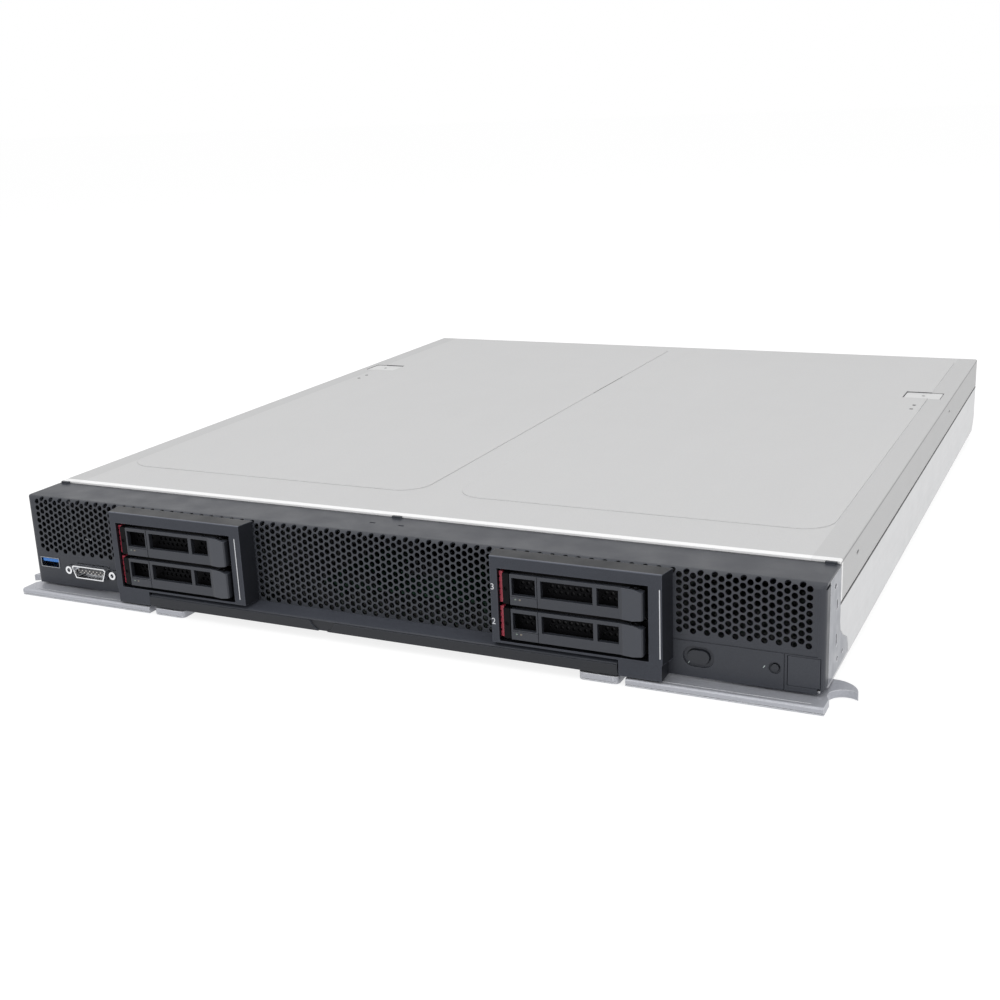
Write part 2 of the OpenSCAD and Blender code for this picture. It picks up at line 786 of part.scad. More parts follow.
// Release tab: a plate under the floor on a headed neck
module lever_latch() placed() color([0.62, 0.63, 0.65]) {
    difference() {
        upright(lever_low, -lever_gap) difference() {
            round_rect([lever_latch_x - 9.6, -cage_reach], [lever_latch_x + 9.6, 12], 2.5);
            rect([lever_latch_x + 7, -cage_reach - 1], [lever_latch_x + 10, -cage_reach + 0.2]);
        }
        along_x(lever_latch_x - 12, lever_latch_x + 12)
            rect([-cage_reach - 1, lever_low + 0.6], [-cage_reach + 0.5, lever_low + 1]);
    }
    block([lever_latch_x - 2.5, 7, -lever_gap], [lever_latch_x + 2.5, 10, sheet + 0.3]);
    block([lever_latch_x - 4, 5, sheet + 0.3], [lever_latch_x + 4, 12, sheet + 1.5]);
}

module lever_latch_right() lever_latch();
module lever_latch_left() mirror([1, 0, 0]) lever_latch();

// Cover ---------------------------------------------------------------------

// Cross-section: plate with round edges and hanging side flanges
module cover_section() {
    edge = 1.1;
    rect([-half_w + edge, cover_h - cover_t], [half_w - edge, cover_h]);
    both_sides() {
        intersection() {
            translate([half_w - edge, cover_h - edge]) circle(edge);
            rect([half_w - edge - 1, cover_h - edge], [half_w, cover_h]);
        }
        rect([half_w - flange_t, seam_z + 0.6], [half_w, cover_h - edge]);
    }
}

field_front = 66;
field_edge = 204;
field_mid = 10;

// One of the two long shallow fields on the cover
module cover_field() {
    round_rect([field_mid, field_front], [field_edge, chassis_d - 5], 16);
}

module latch_opening() {
    translate([latch_x, latch_y]) square(latch_size + [0.8, 0.8], center = true);
}

module top_cover() placed() color([0.82, 0.82, 0.83]) difference() {
    union() {
        along_y(cover_front, chassis_d) cover_section();
        upright(cover_h, cover_h + field_rise) both_sides() cover_field();
    }
    both_sides() {
        // the flanges begin behind the front cheeks
        block([half_w - flange_t - 0.2, cover_front - 1, seam_z],
            [half_w + 1, cheek_y, wall_top + 0.1]);
        upright(cover_h - 3, cover_h + 1) latch_opening();
        translate([latch_x - 1, latch_y - 30, cover_h - 2]) cylinder(r = 1.2, h = 4);
        translate([latch_x - 1, latch_y - 41, cover_h - 2]) cylinder(r = 1.2, h = 4);
        // hook slots in the flanges
        for (y = [64, 353]) along_x(half_w - 3, half_w + 1)
            translate([y, 43.2]) pill(5, 1.6);
    }
}

bracket_low = cover_h - cover_t - 6;
latch_top = cover_h - 0.2;

// Channels riveted under the cover that carry the latches
module cover_latch_brackets() placed() color(steel) both_sides()
    translate([latch_x, latch_y, 0]) difference() {
        along_x(-13.8, 13.8) difference() {
            rect([-15, bracket_low], [15, cover_h - cover_t]);
            rect([-10, bracket_low + 1], [10, cover_h]);
            rect([-16, bracket_low - 1], [-11, cover_h - cover_t - 1]);
            rect([11, bracket_low - 1], [16, cover_h - cover_t - 1]);
        }
        translate([0, 0, bracket_low - 1]) cylinder(r = 2.55, h = 4);
    }

// Push latch: plate flush with the cover on a guided stem
module cover_latch() placed() color([0.8, 0.8, 0.81]) translate([latch_x, latch_y, 0]) {
    difference() {
        upright(latch_top - 1.2, latch_top)
            round_rect(-latch_size / 2, latch_size / 2, 1.5);
        translate([0, 0, latch_top - 0.7]) cylinder(r = 1.1, h = 2);
    }
    translate([0, 0, bracket_low - 1]) cylinder(r = 2.5, h = latch_top - bracket_low);
}

module cover_latch_right() cover_latch();
module cover_latch_left() mirror([1, 0, 0]) cover_latch();

// Inside ----------------------------------------------------------------------

module at_processors() {
    for (side = [-1, 1], y = cpu_rows) translate([side * cpu_x, y, board_top]) children();
}

module system_board() placed() color(board_green) difference() {
    upright(board_z, board_top) difference() {
        rect([-211, board_front], [211, board_rear]);
        rect([-66, board_front - 1], [66, board_front + 4]);
        at_standoffs() circle(screw_r + 0.3);
    }
}

// Pan-head screws into the tray's standoffs
module board_screws() placed() color([0.7, 0.7, 0.71]) at_standoffs() difference() {
    union() {
        translate([0, 0, sheet + 0.4]) cylinder(r = screw_r, h = board_top - sheet);
        translate([0, 0, board_top]) cylinder(r = 2.8, h = 1.8);
    }
    translate([0, 0, board_top + 0.8]) cylinder(r = 1.3, h = 2, $fn = 6);
}

// Socket frame with the processor package and its lid
module processors() placed() color([0.6, 0.61, 0.62]) at_processors() {
    translate([0, 0, 1.5]) cube([cpu_size[0] + 6, cpu_size[1] + 6, 3], center = true);
    translate([0, 0, 4.2]) cube([cpu_size[0], cpu_size[1], 2.4], center = true);
    translate([0, 0, 5.9]) cube([cpu_size[0] - 16, cpu_size[1] - 20, 1], center = true);
}

// Finned heat sink with four spring screws in its base
module heat_sink(x, y) placed() color([0.75, 0.76, 0.78]) translate([x, y, board_top + 6.4]) {
    fin_gap = sink_size[0] / 24;
    linear_extrude(3) difference() {
        square(sink_size, center = true);
        for (i = [-1, 1], j = [-1, 1]) translate([i * 34, j * 46]) circle(2.2);
    }
    translate([0, 0, 3]) linear_extrude(26) for (fin = [-11.5:11.5])
        translate([fin * fin_gap, 0])
            square([0.9, sink_size[1] - (abs(fin) > 9 ? 22 : 0)], center = true);
}

module heat_sink_front_left() heat_sink(-cpu_x, cpu_rows[0]);
module heat_sink_front_right() heat_sink(cpu_x, cpu_rows[0]);
module heat_sink_rear_left() heat_sink(-cpu_x, cpu_rows[1]);
module heat_sink_rear_right() heat_sink(cpu_x, cpu_rows[1]);

module at_dimms() {
    at_processors() for (side = [-1, 1], i = [0:dimms_per_side - 1])
        translate([side * (first_dimm + i * dimm_pitch), 0, 0]) children();
}

// Memory sockets with a latch tower at each end
module memory_sockets() placed() color(black) at_dimms() difference() {
    union() {
        block([-3, -dimm_l / 2 - 4, 0], [3, dimm_l / 2 + 4, socket_h]);
        for (end = [-1, 1]) translate([0, end * (dimm_l / 2 + 1.5), 0])
            block([-2.4, -2.5, 0], [2.4, 2.5, 17]);
    }
    block([-dimm_t / 2, -dimm_l / 2, 2.4], [dimm_t / 2, dimm_l / 2, 20]);
}

// Memory modules: a board with a row of chips on each face
module memory_modules() placed() color(board_green) at_dimms() {
    block([-dimm_t / 2, -dimm_l / 2, 2.4], [dimm_t / 2, dimm_l / 2, 2.4 + dimm_h]);
    for (face = [-1, 1]) translate([face * (dimm_t / 2 + 0.4), 0, 2.4 + dimm_h / 2 + 3])
        cube([0.8, dimm_l - 12, 11], center = true);
}

// Folded air guide between the two halves of the board
module air_baffle() placed() color([0.3, 0.31, 0.33]) difference() {
    along_y(board_front + 16, 424) difference() {
        polygon([[-15, board_top], [-12, 44], [12, 44], [15, board_top]]);
        polygon([[-13.6, board_top - 1], [-10.8, 42.8], [10.8, 42.8], [13.6, board_top - 1]]);
    }
    upright(30, 60) for (y = [150:34:400]) translate([0, y]) pill(14, 8);
    // feet clear the board's middle screws
    along_x(-20, 20) translate([277, board_top]) circle(7);
}

// Storage adapter on four spacers between the drive bays
module storage_adapter() placed() color(board_green) {
    corners = [for (x = [-42, 42], y = [36, 96]) [x, y]];
    for (corner = corners) translate([corner[0], corner[1], sheet])
        cylinder(r = 2.6, h = 7);
    upright(sheet + 7, sheet + 7 + pcb) rect([-48, 30], [48, 102]);
    translate([0, 0, sheet + 7 + pcb]) {
        block([-13, 54, 0], [13, 80, 3]);
        for (fin = [-11:4:11]) block([fin, 54, 3], [fin + 1.2, 80, 9]);
        for (side = [-1, 1]) translate([side * 34, 90, 0]) block([-11, -4, 0], [11, 4, 6]);
        block([-40, 34, 0], [-20, 40, 4]);
    }
}

// Coin cell in its holder
module board_battery() placed() translate([0, 448, board_top]) {
    color(black) difference() {
        cylinder(r = 11.6, h = 3.4);
        translate([0, 0, 0.8]) cylinder(r = 10, h = 4);
    }
    color([0.8, 0.8, 0.8]) translate([0, 0, 0.8]) cylinder(r = 10, h = 3.2);
}

// Rear adapter card: stacking connector, card and the plug to the midplane
module io_adapter(side) placed() color(board_green) translate([side * 105, 0, 0]) {
    block([-30, 436, board_top], [30, 444, 20.6]);
    upright(20.6, 20.6 + pcb) rect([-48, 430], [48, rear_wall_y - 3]);
    block([-36, rear_wall_y - 18, 20.6 + pcb], [36, chassis_d - 1, 38]);
    block([-20, 436, 20.6 + pcb], [20, 456, 30]);
}

module io_adapter_left() io_adapter(-1);
module io_adapter_right() io_adapter(1);

guide_r = 3.2;

// Power and management plugs, and the sockets for the enclosure's guide pins
module midplane_connectors() placed() color(black) {
    both_sides() {
        difference() {
            block([162, rear_wall_y - 22, board_top], [190, chassis_d - 1, board_top + 17]);
            for (blade = [0:3]) translate([165 + blade * 6, 0, 0])
                block([0, chassis_d - 9, board_top + 3], [3, chassis_d, board_top + 14]);
        }
        difference() {
            block([193, rear_wall_y - 14, board_top], [207, chassis_d - 1, board_top + 17]);
            translate([200, chassis_d, board_top + 9]) rotate([90, 0, 0])
                cylinder(r = guide_r, h = 16);
        }
    }
    difference() {
        block([-26, rear_wall_y - 16, board_top], [26, chassis_d - 1, board_top + 12]);
        for (row = [0:2]) block([-23, chassis_d - 6, board_top + 2 + row * 3.2],
            [23, chassis_d, board_top + 3.6 + row * 3.2]);
    }
}

chassis_tray();
front_frame();
bezel_frame();
grille_left();
grille_centre();
grille_right();
port_panel();
operator_panel();
lower_lip();
cage_front_left();
cage_front_right();
drive_bay_left();
drive_bay_right();
backplane_left();
backplane_right();
usb_port();
console_connector();
lever_pivots();
system_board();
board_screws();
processors();
heat_sink_front_left();
heat_sink_front_right();
heat_sink_rear_left();
heat_sink_rear_right();
memory_sockets();
memory_modules();
air_baffle();
storage_adapter();
board_battery();
io_adapter_left();
io_adapter_right();
midplane_connectors();
top_cover();
cover_latch_brackets();
cover_latch_left();
cover_latch_right();
lever_left();
lever_right();
lever_latch_left();
lever_latch_right();
power_button();
service_button();
label_tab();
tray_left_lower();
tray_left_upper();
tray_right_lower();
tray_right_upper();
drive_left_lower();
drive_left_upper();
drive_right_lower();
drive_right_upper();
tray_handle_left_lower();
tray_handle_left_upper();
tray_handle_right_lower();
tray_handle_right_upper();
tray_latch_left_lower();
tray_latch_left_upper();
tray_latch_right_lower();
tray_latch_right_upper();
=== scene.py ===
"""Looks of a full-width blade server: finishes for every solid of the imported
model, the small trim on its front, and a plain studio stage round it."""

import math

import bmesh
import bpy
from bpy.props import FloatProperty, FloatVectorProperty, PointerProperty
from mathutils import Matrix, Vector


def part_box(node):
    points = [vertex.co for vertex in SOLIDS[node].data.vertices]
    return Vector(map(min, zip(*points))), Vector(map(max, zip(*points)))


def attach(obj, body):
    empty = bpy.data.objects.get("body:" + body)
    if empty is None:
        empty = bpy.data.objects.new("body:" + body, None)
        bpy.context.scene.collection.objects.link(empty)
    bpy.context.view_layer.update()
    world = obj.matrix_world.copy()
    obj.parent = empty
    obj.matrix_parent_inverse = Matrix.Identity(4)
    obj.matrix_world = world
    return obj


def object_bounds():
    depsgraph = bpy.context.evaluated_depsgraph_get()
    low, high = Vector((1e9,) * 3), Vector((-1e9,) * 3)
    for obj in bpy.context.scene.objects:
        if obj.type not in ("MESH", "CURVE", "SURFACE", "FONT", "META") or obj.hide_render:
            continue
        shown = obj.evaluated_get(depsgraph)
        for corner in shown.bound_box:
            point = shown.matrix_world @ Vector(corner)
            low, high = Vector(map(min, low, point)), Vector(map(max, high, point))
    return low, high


bl_info = {
    "name": "Blade Server Looks",
    "version": (1, 0, 0),
    "blender": (4, 5, 0),
    "location": "View3D > Sidebar > Blade",
    "description": "Finishes, front trim and stage of a full-width blade server",
    "category": "Object",
}

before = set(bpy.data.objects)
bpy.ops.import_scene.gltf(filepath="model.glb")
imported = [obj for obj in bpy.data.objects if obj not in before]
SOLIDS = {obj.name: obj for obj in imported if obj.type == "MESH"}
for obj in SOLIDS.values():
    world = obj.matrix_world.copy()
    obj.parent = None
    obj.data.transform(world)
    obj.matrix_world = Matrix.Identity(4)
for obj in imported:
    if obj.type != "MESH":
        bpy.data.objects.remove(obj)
CAD_BOX = [list(corner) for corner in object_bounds()]
MM = 0.001

CAGES = ("left", "right")
LEVELS = ("lower", "upper")

# Places that the finishes follow, in metres ----------------------------------

COVER_LIP_HIGHLIGHT = 4.2 * MM  # depth of the painted highlight on the cover's front lip
COVER_BORDER = 204.5 * MM  # from the middle to the darker border at each side
FOLD_SHADOW = (1.7 * MM, 0.95 * MM)  # below the cover's top, on its flanges
LATCH_SHADE_REACH = (46 * MM, 10 * MM)  # reach of the painted shade in front of and behind a latch's middle
FLANGE_INSIDE = 214 * MM  # from the middle to just inside the cover's flanges
SEAM = (1.5 * MM, 0.5 * MM)  # below and above the lower edge of the flanges
HOOK_SLOTS = (36.6 * MM, 325.6 * MM)  # behind the cover's front edge
HOOK_SLOT_HEIGHT = 11.6 * MM  # above the lower edge of the flanges
HOOK_SLOT_LENGTH = 10 * MM
HOOK_SLOT_WIDTH = 6 * MM
CREST_DEPTH = 0.7 * MM  # painted highlight band behind a cage's front top edge
CREST_HEIGHT = 0.4 * MM
HANDLE_SWELL = 1.5 * MM  # depth of the swollen end of a tray handle
CONTACT_BLOCK_HALF = 9.6 * MM
USB_WALL = 0.6 * MM
MEMORY_PITCH = 4 * MM
CELL_RADIUS = 10.02 * MM

# Lumps per metre of the finest grain, and a colour that several pieces share ---

PAINT_GRAIN = 2600
SPARK_GRAIN = 3800
BLACK_MOULDING = (0.02, 0.02, 0.022)

# Contacts of the ports -----------------------------------------------------------

PIN_ROWS = ((1, 8), (-1, 7))  # side of the contact block, and contacts on it
PIN_PITCH = 2.5 * MM
PIN_ROW_SHIFT = 0.55 * MM
PIN_RADIUS = 0.34 * MM
STRIP_SPOTS = (-3.5 * MM, -1.0 * MM, 1.0 * MM, 3.5 * MM)
STRIP_WIDTH = 1.0 * MM

# Printing and lights on the front ------------------------------------------------

LINE_INSETS = {"left": 4.8 * MM, "right": 2.7 * MM}  # from a cage's right edge
LINE_BOTTOM = 0.3 * MM  # above the lower tray's underside
LINE_TOP = 0.5 * MM  # above the upper tray's top
NUMBER_INSET = 2.9 * MM  # left of the trays
INK_RELIEF = 0.03 * MM
LIGHT_INSETS = (2.6 * MM, 4.8 * MM)  # green and amber, from a handle's left end
LIGHT_HEIGHT = 2.9 * MM
LIGHT_DEPTH = 1.8 * MM  # behind the swollen end of a handle
POWER_LIGHT_SHIFT = (-4.6 * MM, -3.4 * MM)  # across and up from its button
SERVICE_LIGHT_SHIFT = (-4.7 * MM, -0.1 * MM)
BUTTON_RECESS = 1.0 * MM  # round the power button
STROKE_HALF = (0.16 * MM, 0.7 * MM)
STROKE_LEAN = 0.6  # radians

# Stage ------------------------------------------------------------------------

CAMERA_PLACE = (0.3279, -0.76485, 0.2522)
CAMERA_TURN, CAMERA_RISE, CAMERA_ROLL = 26.12, 16.62, -2.54  # degrees
SENSOR_WIDTH = 36  # mm
FOCAL_WIDTHS = 1.355  # focal length in sensor widths
FLOOR_REACH = 12.0
FLOOR_GAP = 0.2 * MM  # keeps the floor clear of the levers
FLOOR_TONES = (0.78, 0.82)
FLOOR_GLOW, FLOOR_GLOW_SHARE = 1.3, 0.62  # on rays that show the floor
SURROUNDINGS_LIGHT, SURROUNDINGS_SEEN = 0.62, 1.0
LAMP_AIM = Vector((0, 0, 0.03))
LAMPS = (  # name, place, size, power in watts
    ("lamp_above", (-0.2, -0.3, 1.7), 1.6, 9.0),
    ("lamp_right", (1.5, -0.5, 0.7), 1.1, 6.0),
    ("lamp_front", (-0.5, -1.7, 0.8), 1.2, 5.0),
)


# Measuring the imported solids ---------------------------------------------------


def low(node):
    """Lowest corner of a solid at rest."""
    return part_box(node)[0]


def high(node):
    """Highest corner of a solid at rest."""
    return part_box(node)[1]


def middle(node):
    """Middle of a solid's box at rest."""
    return (low(node) + high(node)) / 2


def scaled(colour, factor):
    """A colour with its brightness scaled."""
    return tuple(factor * part for part in colour)


# Node work -------------------------------------------------------------------


class Finish:
    """A principled material with named ways to vary its colour and relief."""

    def __init__(self, name, colour, roughness, metallic=0.0):
        self.material = bpy.data.materials.new(name)
        self.material.use_nodes = True
        self.tree = self.material.node_tree
        self.shader = self.tree.nodes["Principled BSDF"]
        self.shader.inputs["Base Color"].default_value = (*colour, 1.0)
        self.shader.inputs["Roughness"].default_value = roughness
        self.shader.inputs["Metallic"].default_value = metallic
        self.material.diffuse_color = (*colour, 1.0)
        self.place = self.node("ShaderNodeTexCoord").outputs["Object"]
        self.colour = None
        self.normal = None

    def node(self, kind, **values):
        """A new node with the settings given."""
        made = self.tree.nodes.new(kind)
        for key, value in values.items():
            setattr(made, key, value)
        return made

    def link(self, out, into):
        self.tree.links.new(out, into)

    def socket(self, name, value):
        """Sets one even value on the shader."""
        self.shader.inputs[name].default_value = value

    def stretched(self, stretch):
        """The place of the shaded point, scaled along each axis."""
        mapping = self.node("ShaderNodeMapping")
        mapping.inputs["Scale"].default_value = stretch
        self.link(self.place, mapping.inputs["Vector"])
        return mapping.outputs["Vector"]

    def noise(self, scale, detail=3, stretch=None):
        """Noise at a scale in lumps per metre, drawn out along an axis."""
        made = self.node("ShaderNodeTexNoise")
        made.inputs["Scale"].default_value = scale
        made.inputs["Detail"].default_value = detail
        self.link(self.stretched(stretch) if stretch else self.place, made.inputs["Vector"])
        return made.outputs["Fac"]

    def cells(self, scale):
        """Distance to the middle of a cell, from scattered cells."""
        made = self.node("ShaderNodeTexVoronoi", feature="F1")
        made.inputs["Scale"].default_value = scale
        self.link(self.place, made.inputs["Vector"])
        return made.outputs["Distance"]

    def math(self, operation, first, second=None, third=None):
        """One step of arithmetic on sockets or numbers."""
        made = self.node("ShaderNodeMath", operation=operation)
        for number, value in enumerate((first, second, third)):
            if value is None:
                continue
            if hasattr(value, "is_linked"):
                self.link(value, made.inputs[number])
            else:
                made.inputs[number].default_value = value
        return made.outputs[0]

    def spread(self, value, out_low, out_high, in_low=0.3, in_high=0.7):
        """Maps a texture's middle range to the range given."""
        made = self.node("ShaderNodeMapRange")
        made.inputs["From Min"].default_value = in_low
        made.inputs["From Max"].default_value = in_high
        made.inputs["To Min"].default_value = out_low
        made.inputs["To Max"].default_value = out_high
        self.link(value, made.inputs["Value"])
        return made.outputs["Result"]

    def axis(self, name):
        """One coordinate of the shaded point, in metres."""
        split = self.node("ShaderNodeSeparateXYZ")
        self.link(self.place, split.inputs[0])
        return split.outputs[name]

    def between(self, name, start, end):
        """1 where a coordinate lies between two places, 0 elsewhere."""
        return self.both(self.over(name, start), self.under(name, end))

    def over(self, name, place):
        """1 where a coordinate lies past a place, 0 elsewhere."""
        return self.math("GREATER_THAN", self.axis(name), place)

    def under(self, name, place):
        """1 where a coordinate lies short of a place, 0 elsewhere."""
        return self.math("LESS_THAN", self.axis(name), place)

    def both(self, mask, other):
        """1 where both masks are 1, or a share of one mask."""
        return self.math("MULTIPLY", mask, other)

    def within(self, X, Y, Z):
        """1 inside a box given by its reach along each axis."""
        across = self.both(self.between("X", *X), self.between("Z", *Z))
        return self.both(across, self.between("Y", *Y))

    def facing(self, name):
        """How squarely a surface faces along an axis, from 0 to 1."""
        split = self.node("ShaderNodeSeparateXYZ")
        self.link(self.node("ShaderNodeTexCoord").outputs["Normal"], split.inputs[0])
        return self.math("ABSOLUTE", split.outputs[name])

    def base(self):
        """The colour so far, as a socket."""
        if self.colour is None:
            made = self.node("ShaderNodeRGB")
            made.outputs[0].default_value = self.shader.inputs["Base Color"].default_value
            self.colour = made.outputs[0]
        return self.colour

    def tone(self, factor):
        """Scales the colour's brightness by a varying factor."""
        made = self.node("ShaderNodeVectorMath", operation="SCALE")
        self.link(self.base(), made.inputs[0])
        self.link(factor, made.inputs["Scale"])
        self.colour = made.outputs["Vector"]

    def mottle(self, scale, darkest, lightest, detail=3, stretch=None):
        """Varies the brightness by noise, between two factors."""
        self.tone(self.spread(self.noise(scale, detail, stretch), darkest, lightest))

    def tint(self, mask, colour):
        """Lays another colour where the mask is 1."""
        made = self.node("ShaderNodeMix", data_type="RGBA")
        self.link(mask, made.inputs["Factor"])
        self.link(self.base(), made.inputs["A"])
        made.inputs["B"].default_value = (*colour, 1.0)
        self.colour = made.outputs["Result"]

    def paint_edge_highlights(self, width, colour, share=1.0):
        """Lays a share of a brighter colour along edges: a painted highlight."""
        self.tint(self.both(self.edge_mask(width), share), colour)

    def gloss(self, scale, smoothest, roughest, detail=3, stretch=None):
        """Varies the roughness by noise, between two values."""
        value = self.spread(self.noise(scale, detail, stretch), smoothest, roughest)
        self.link(value, self.shader.inputs["Roughness"])

    def metal(self, value):
        """Makes the surface metal where the mask is 1."""
        self.link(value, self.shader.inputs["Metallic"])

    def soft_edges(self, radius):
        """Catches light along edges as if they were eased by this radius."""
        made = self.node("ShaderNodeBevel", samples=4)
        made.inputs["Radius"].default_value = radius
        self.normal = made.outputs["Normal"]

    def edge_mask(self, radius):
        """1 along edges, where painted highlights go, 0 on the flats."""
        bevel = self.node("ShaderNodeBevel", samples=4)
        bevel.inputs["Radius"].default_value = radius
        flat = self.node("ShaderNodeNewGeometry").outputs["Normal"]
        dot = self.node("ShaderNodeVectorMath", operation="DOT_PRODUCT")
        self.link(bevel.outputs["Normal"], dot.inputs[0])
        self.link(flat, dot.inputs[1])
        return self.spread(dot.outputs["Value"], 1.0, 0.0, 0.8, 0.99)

    def relief(self, height, distance, strength):
        """Raises the surface by a texture, in metres."""
        made = self.node("ShaderNodeBump")
        made.inputs["Strength"].default_value = strength
        made.inputs["Distance"].default_value = distance
        self.link(height, made.inputs["Height"])
        if self.normal is not None:
            self.link(self.normal, made.inputs["Normal"])
        self.normal = made.outputs["Normal"]

    def grain(self, scale, distance, strength, detail=3, stretch=None):
        """Raises the surface by noise, in metres."""
        self.relief(self.noise(scale, detail, stretch), distance, strength)

    def done(self):
        """Joins the colour and the relief to the shader."""
        if self.colour is not None:
            self.link(self.colour, self.shader.inputs["Base Color"])
        if self.normal is not None:
            self.link(self.normal, self.shader.inputs["Normal"])
        return self.material


def dress(material, *nodes):
    """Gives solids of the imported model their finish."""
    for name in nodes:
        data = SOLIDS[name].data
        data.materials.clear()
        data.materials.append(material)


def choices():
    """The colours and sizes that the user may change."""
    return bpy.context.scene.blade_looks


# Finishes --------------------------------------------------------------------


def cover_paint():
    """Fine textured light grey paint, with a painted highlight on the folded front lip."""
    f = Finish("cover_paint", choices().cover_colour, 0.46)
    f.soft_edges(0.5 * MM)
    fine = f.noise(PAINT_GRAIN, 4)
    f.tone(f.spread(fine, 0.955, 1.03))
    f.mottle(7, 0.994, 1.004)
    f.mottle(60, 0.995, 1.005, detail=5, stretch=(1, 0.12, 1))
    f.gloss(45, 0.455, 0.485, detail=4)
    # painted shade: faces that look along X, the side flanges, are darker
    f.tone(f.spread(f.facing("X"), 1.0, 0.89, 0.5, 0.9))
    # painted highlight along the edges
    f.paint_edge_highlights(0.4 * MM, (0.86, 0.86, 0.87), 0.5)
    # painted highlight: the folded front lip is tinted near white
    f.tint(f.under("Y", low("top_cover").y + COVER_LIP_HIGHLIGHT), (0.97, 0.97, 0.97))
    from_middle = f.math("ABSOLUTE", f.axis("X"))
    border = f.math("GREATER_THAN", from_middle, COVER_BORDER)
    f.tone(f.spread(border, 1.0, 0.92, 0.0, 1.0))
    # shadow under the rolled edge
    top = high("top_cover").z
    fold = f.between("Z", top - FOLD_SHADOW[0], top - FOLD_SHADOW[1])
    outside = f.math("GREATER_THAN", f.facing("X"), 0.5)
    f.tint(f.both(f.both(fold, outside), 0.75), (0.16, 0.16, 0.165))
    # painted shade on the upright walls in the latch openings and the holes beside them
    latch = middle("cover_latch_right").y
    walls = f.between("Y", latch - LATCH_SHADE_REACH[0], latch + LATCH_SHADE_REACH[1])
    upright = f.math("LESS_THAN", f.facing("Z"), 0.5)
    inner = f.math("LESS_THAN", from_middle, FLANGE_INSIDE)
    f.tint(f.both(f.both(walls, upright), inner), (0.1, 0.1, 0.105))
    f.relief(fine, 0.03 * MM, 0.35)
    return f.done()


def latch_paint():
    """The cover's paint, lighter, on the push latches."""
    f = Finish("latch_paint", scaled(choices().cover_colour, 1.18), 0.44)
    f.soft_edges(0.5 * MM)
    fine = f.noise(PAINT_GRAIN, 4)
    f.tone(f.spread(fine, 0.955, 1.03))
    # painted shade: faces that don't look up are dark
    f.tint(f.math("LESS_THAN", f.facing("Z"), 0.5), (0.2, 0.2, 0.205))
    f.gloss(45, 0.38, 0.52, detail=4)
    f.relief(fine, 0.03 * MM, 0.35)
    return f.done()


def zinc_sheet(name, under_cover=False):
    """Zinc-plated sheet: faint spangle and rolling marks along the depth.
    under_cover darkens what shows in the cover's seam and hook slots."""
    f = Finish(name, choices().steel_colour, 0.4, 0.8)
    f.soft_edges(0.35 * MM)
    f.tone(f.spread(f.cells(260), 0.985, 1.01, 0.0, 0.8))
    f.mottle(420, 0.98, 1.02, detail=4, stretch=(1, 0.05, 1))
    f.gloss(90, 0.36, 0.43, detail=4)
    if under_cover:
        front, flange = low("top_cover").y, low("top_cover").z
        shade = f.between("Z", flange - SEAM[0], flange + SEAM[1])
        slot_z = flange + HOOK_SLOT_HEIGHT
        for slot in HOOK_SLOTS:
            slot_y = front + slot
            along = f.between("Y", slot_y - HOOK_SLOT_LENGTH / 2, slot_y + HOOK_SLOT_LENGTH / 2)
            across = f.between("Z", slot_z - HOOK_SLOT_WIDTH / 2, slot_z + HOOK_SLOT_WIDTH / 2)
            shade = f.math("MAXIMUM", shade, f.both(along, across))
        f.tint(shade, (0.03, 0.03, 0.032))
    f.grain(900, 0.02 * MM, 0.3, stretch=(1, 0.06, 1))
    return f.done()


def cheek_metal():
    """Front cheeks: brighter sheet, ground along the height, painted highlights on the edges.
    """
    ground = (1, 1, 0.05)
    f = Finish("cheek_metal", (0.27, 0.28, 0.31), 0.34, 0.75)
    f.soft_edges(0.4 * MM)
    f.mottle(700, 0.94, 1.05, stretch=ground)
    # painted highlight along the edges
    f.paint_edge_highlights(0.5 * MM, (0.9, 0.9, 0.92))
    f.gloss(120, 0.28, 0.42)
    f.grain(1500, 0.02 * MM, 0.3, detail=2, stretch=ground)
    return f.done()


def moulded(name, colour, roughness, grain=0.4, edge=0.35, front=(1.0, 1.0),
            edge_width=0.3 * MM, shine=0.33, crest=None):
    """Grained moulding: fine spark texture and painted highlights along the edges.
    front holds the painted light and shade: the tone of the faces beside the front,
    and of the front itself. crest names a solid with painted shade on its top and
    a painted highlight along its front top edge."""
    f = Finish(name, colour, roughness)
    f.socket("Specular IOR Level", shine)
    f.soft_edges(0.35 * MM)
    # painted light and shade: the faces beside the front and the front itself get the two tones
    # in front
    f.tone(f.spread(f.facing("Y"), *front, 0.4, 0.8))
    spark = f.noise(SPARK_GRAIN)
    f.tone(f.spread(spark, 0.86, 1.16))
    f.mottle(38, 0.975, 1.025, detail=4)
    # painted highlight along the edges
    f.paint_edge_highlights(edge_width, scaled(colour, 3.0), edge)
    if crest is not None:
        # painted shade on the top face
        f.tone(f.spread(f.facing("Z"), 1.0, 0.7, 0.4, 0.8))
        # painted highlight along the front top edge
        crest_highlight = f.both(
            f.under("Y", low(crest).y + CREST_DEPTH),
            f.over("Z", high(crest).z - CREST_HEIGHT),
        )
        f.tint(crest_highlight, (0.13, 0.14, 0.17))
    f.gloss(70, roughness - 0.05, roughness + 0.08)
    f.relief(spark, 0.025 * MM, grain)
    return f.done()


def lever_metal():
    """Die-cast levers in satin grey paint, with painted highlights along the edges."""
    f = Finish("lever_metal", choices().lever_colour, 0.38, 0.35)
    f.soft_edges(0.4 * MM)
    f.mottle(900, 0.93, 1.07, detail=4)
    # painted highlight along the edges
    f.paint_edge_highlights(0.5 * MM, (0.9, 0.91, 0.93), 0.9)
    f.gloss(150, 0.32, 0.47, detail=4)
    f.grain(1800, 0.03 * MM, 0.3)
    return f.done()


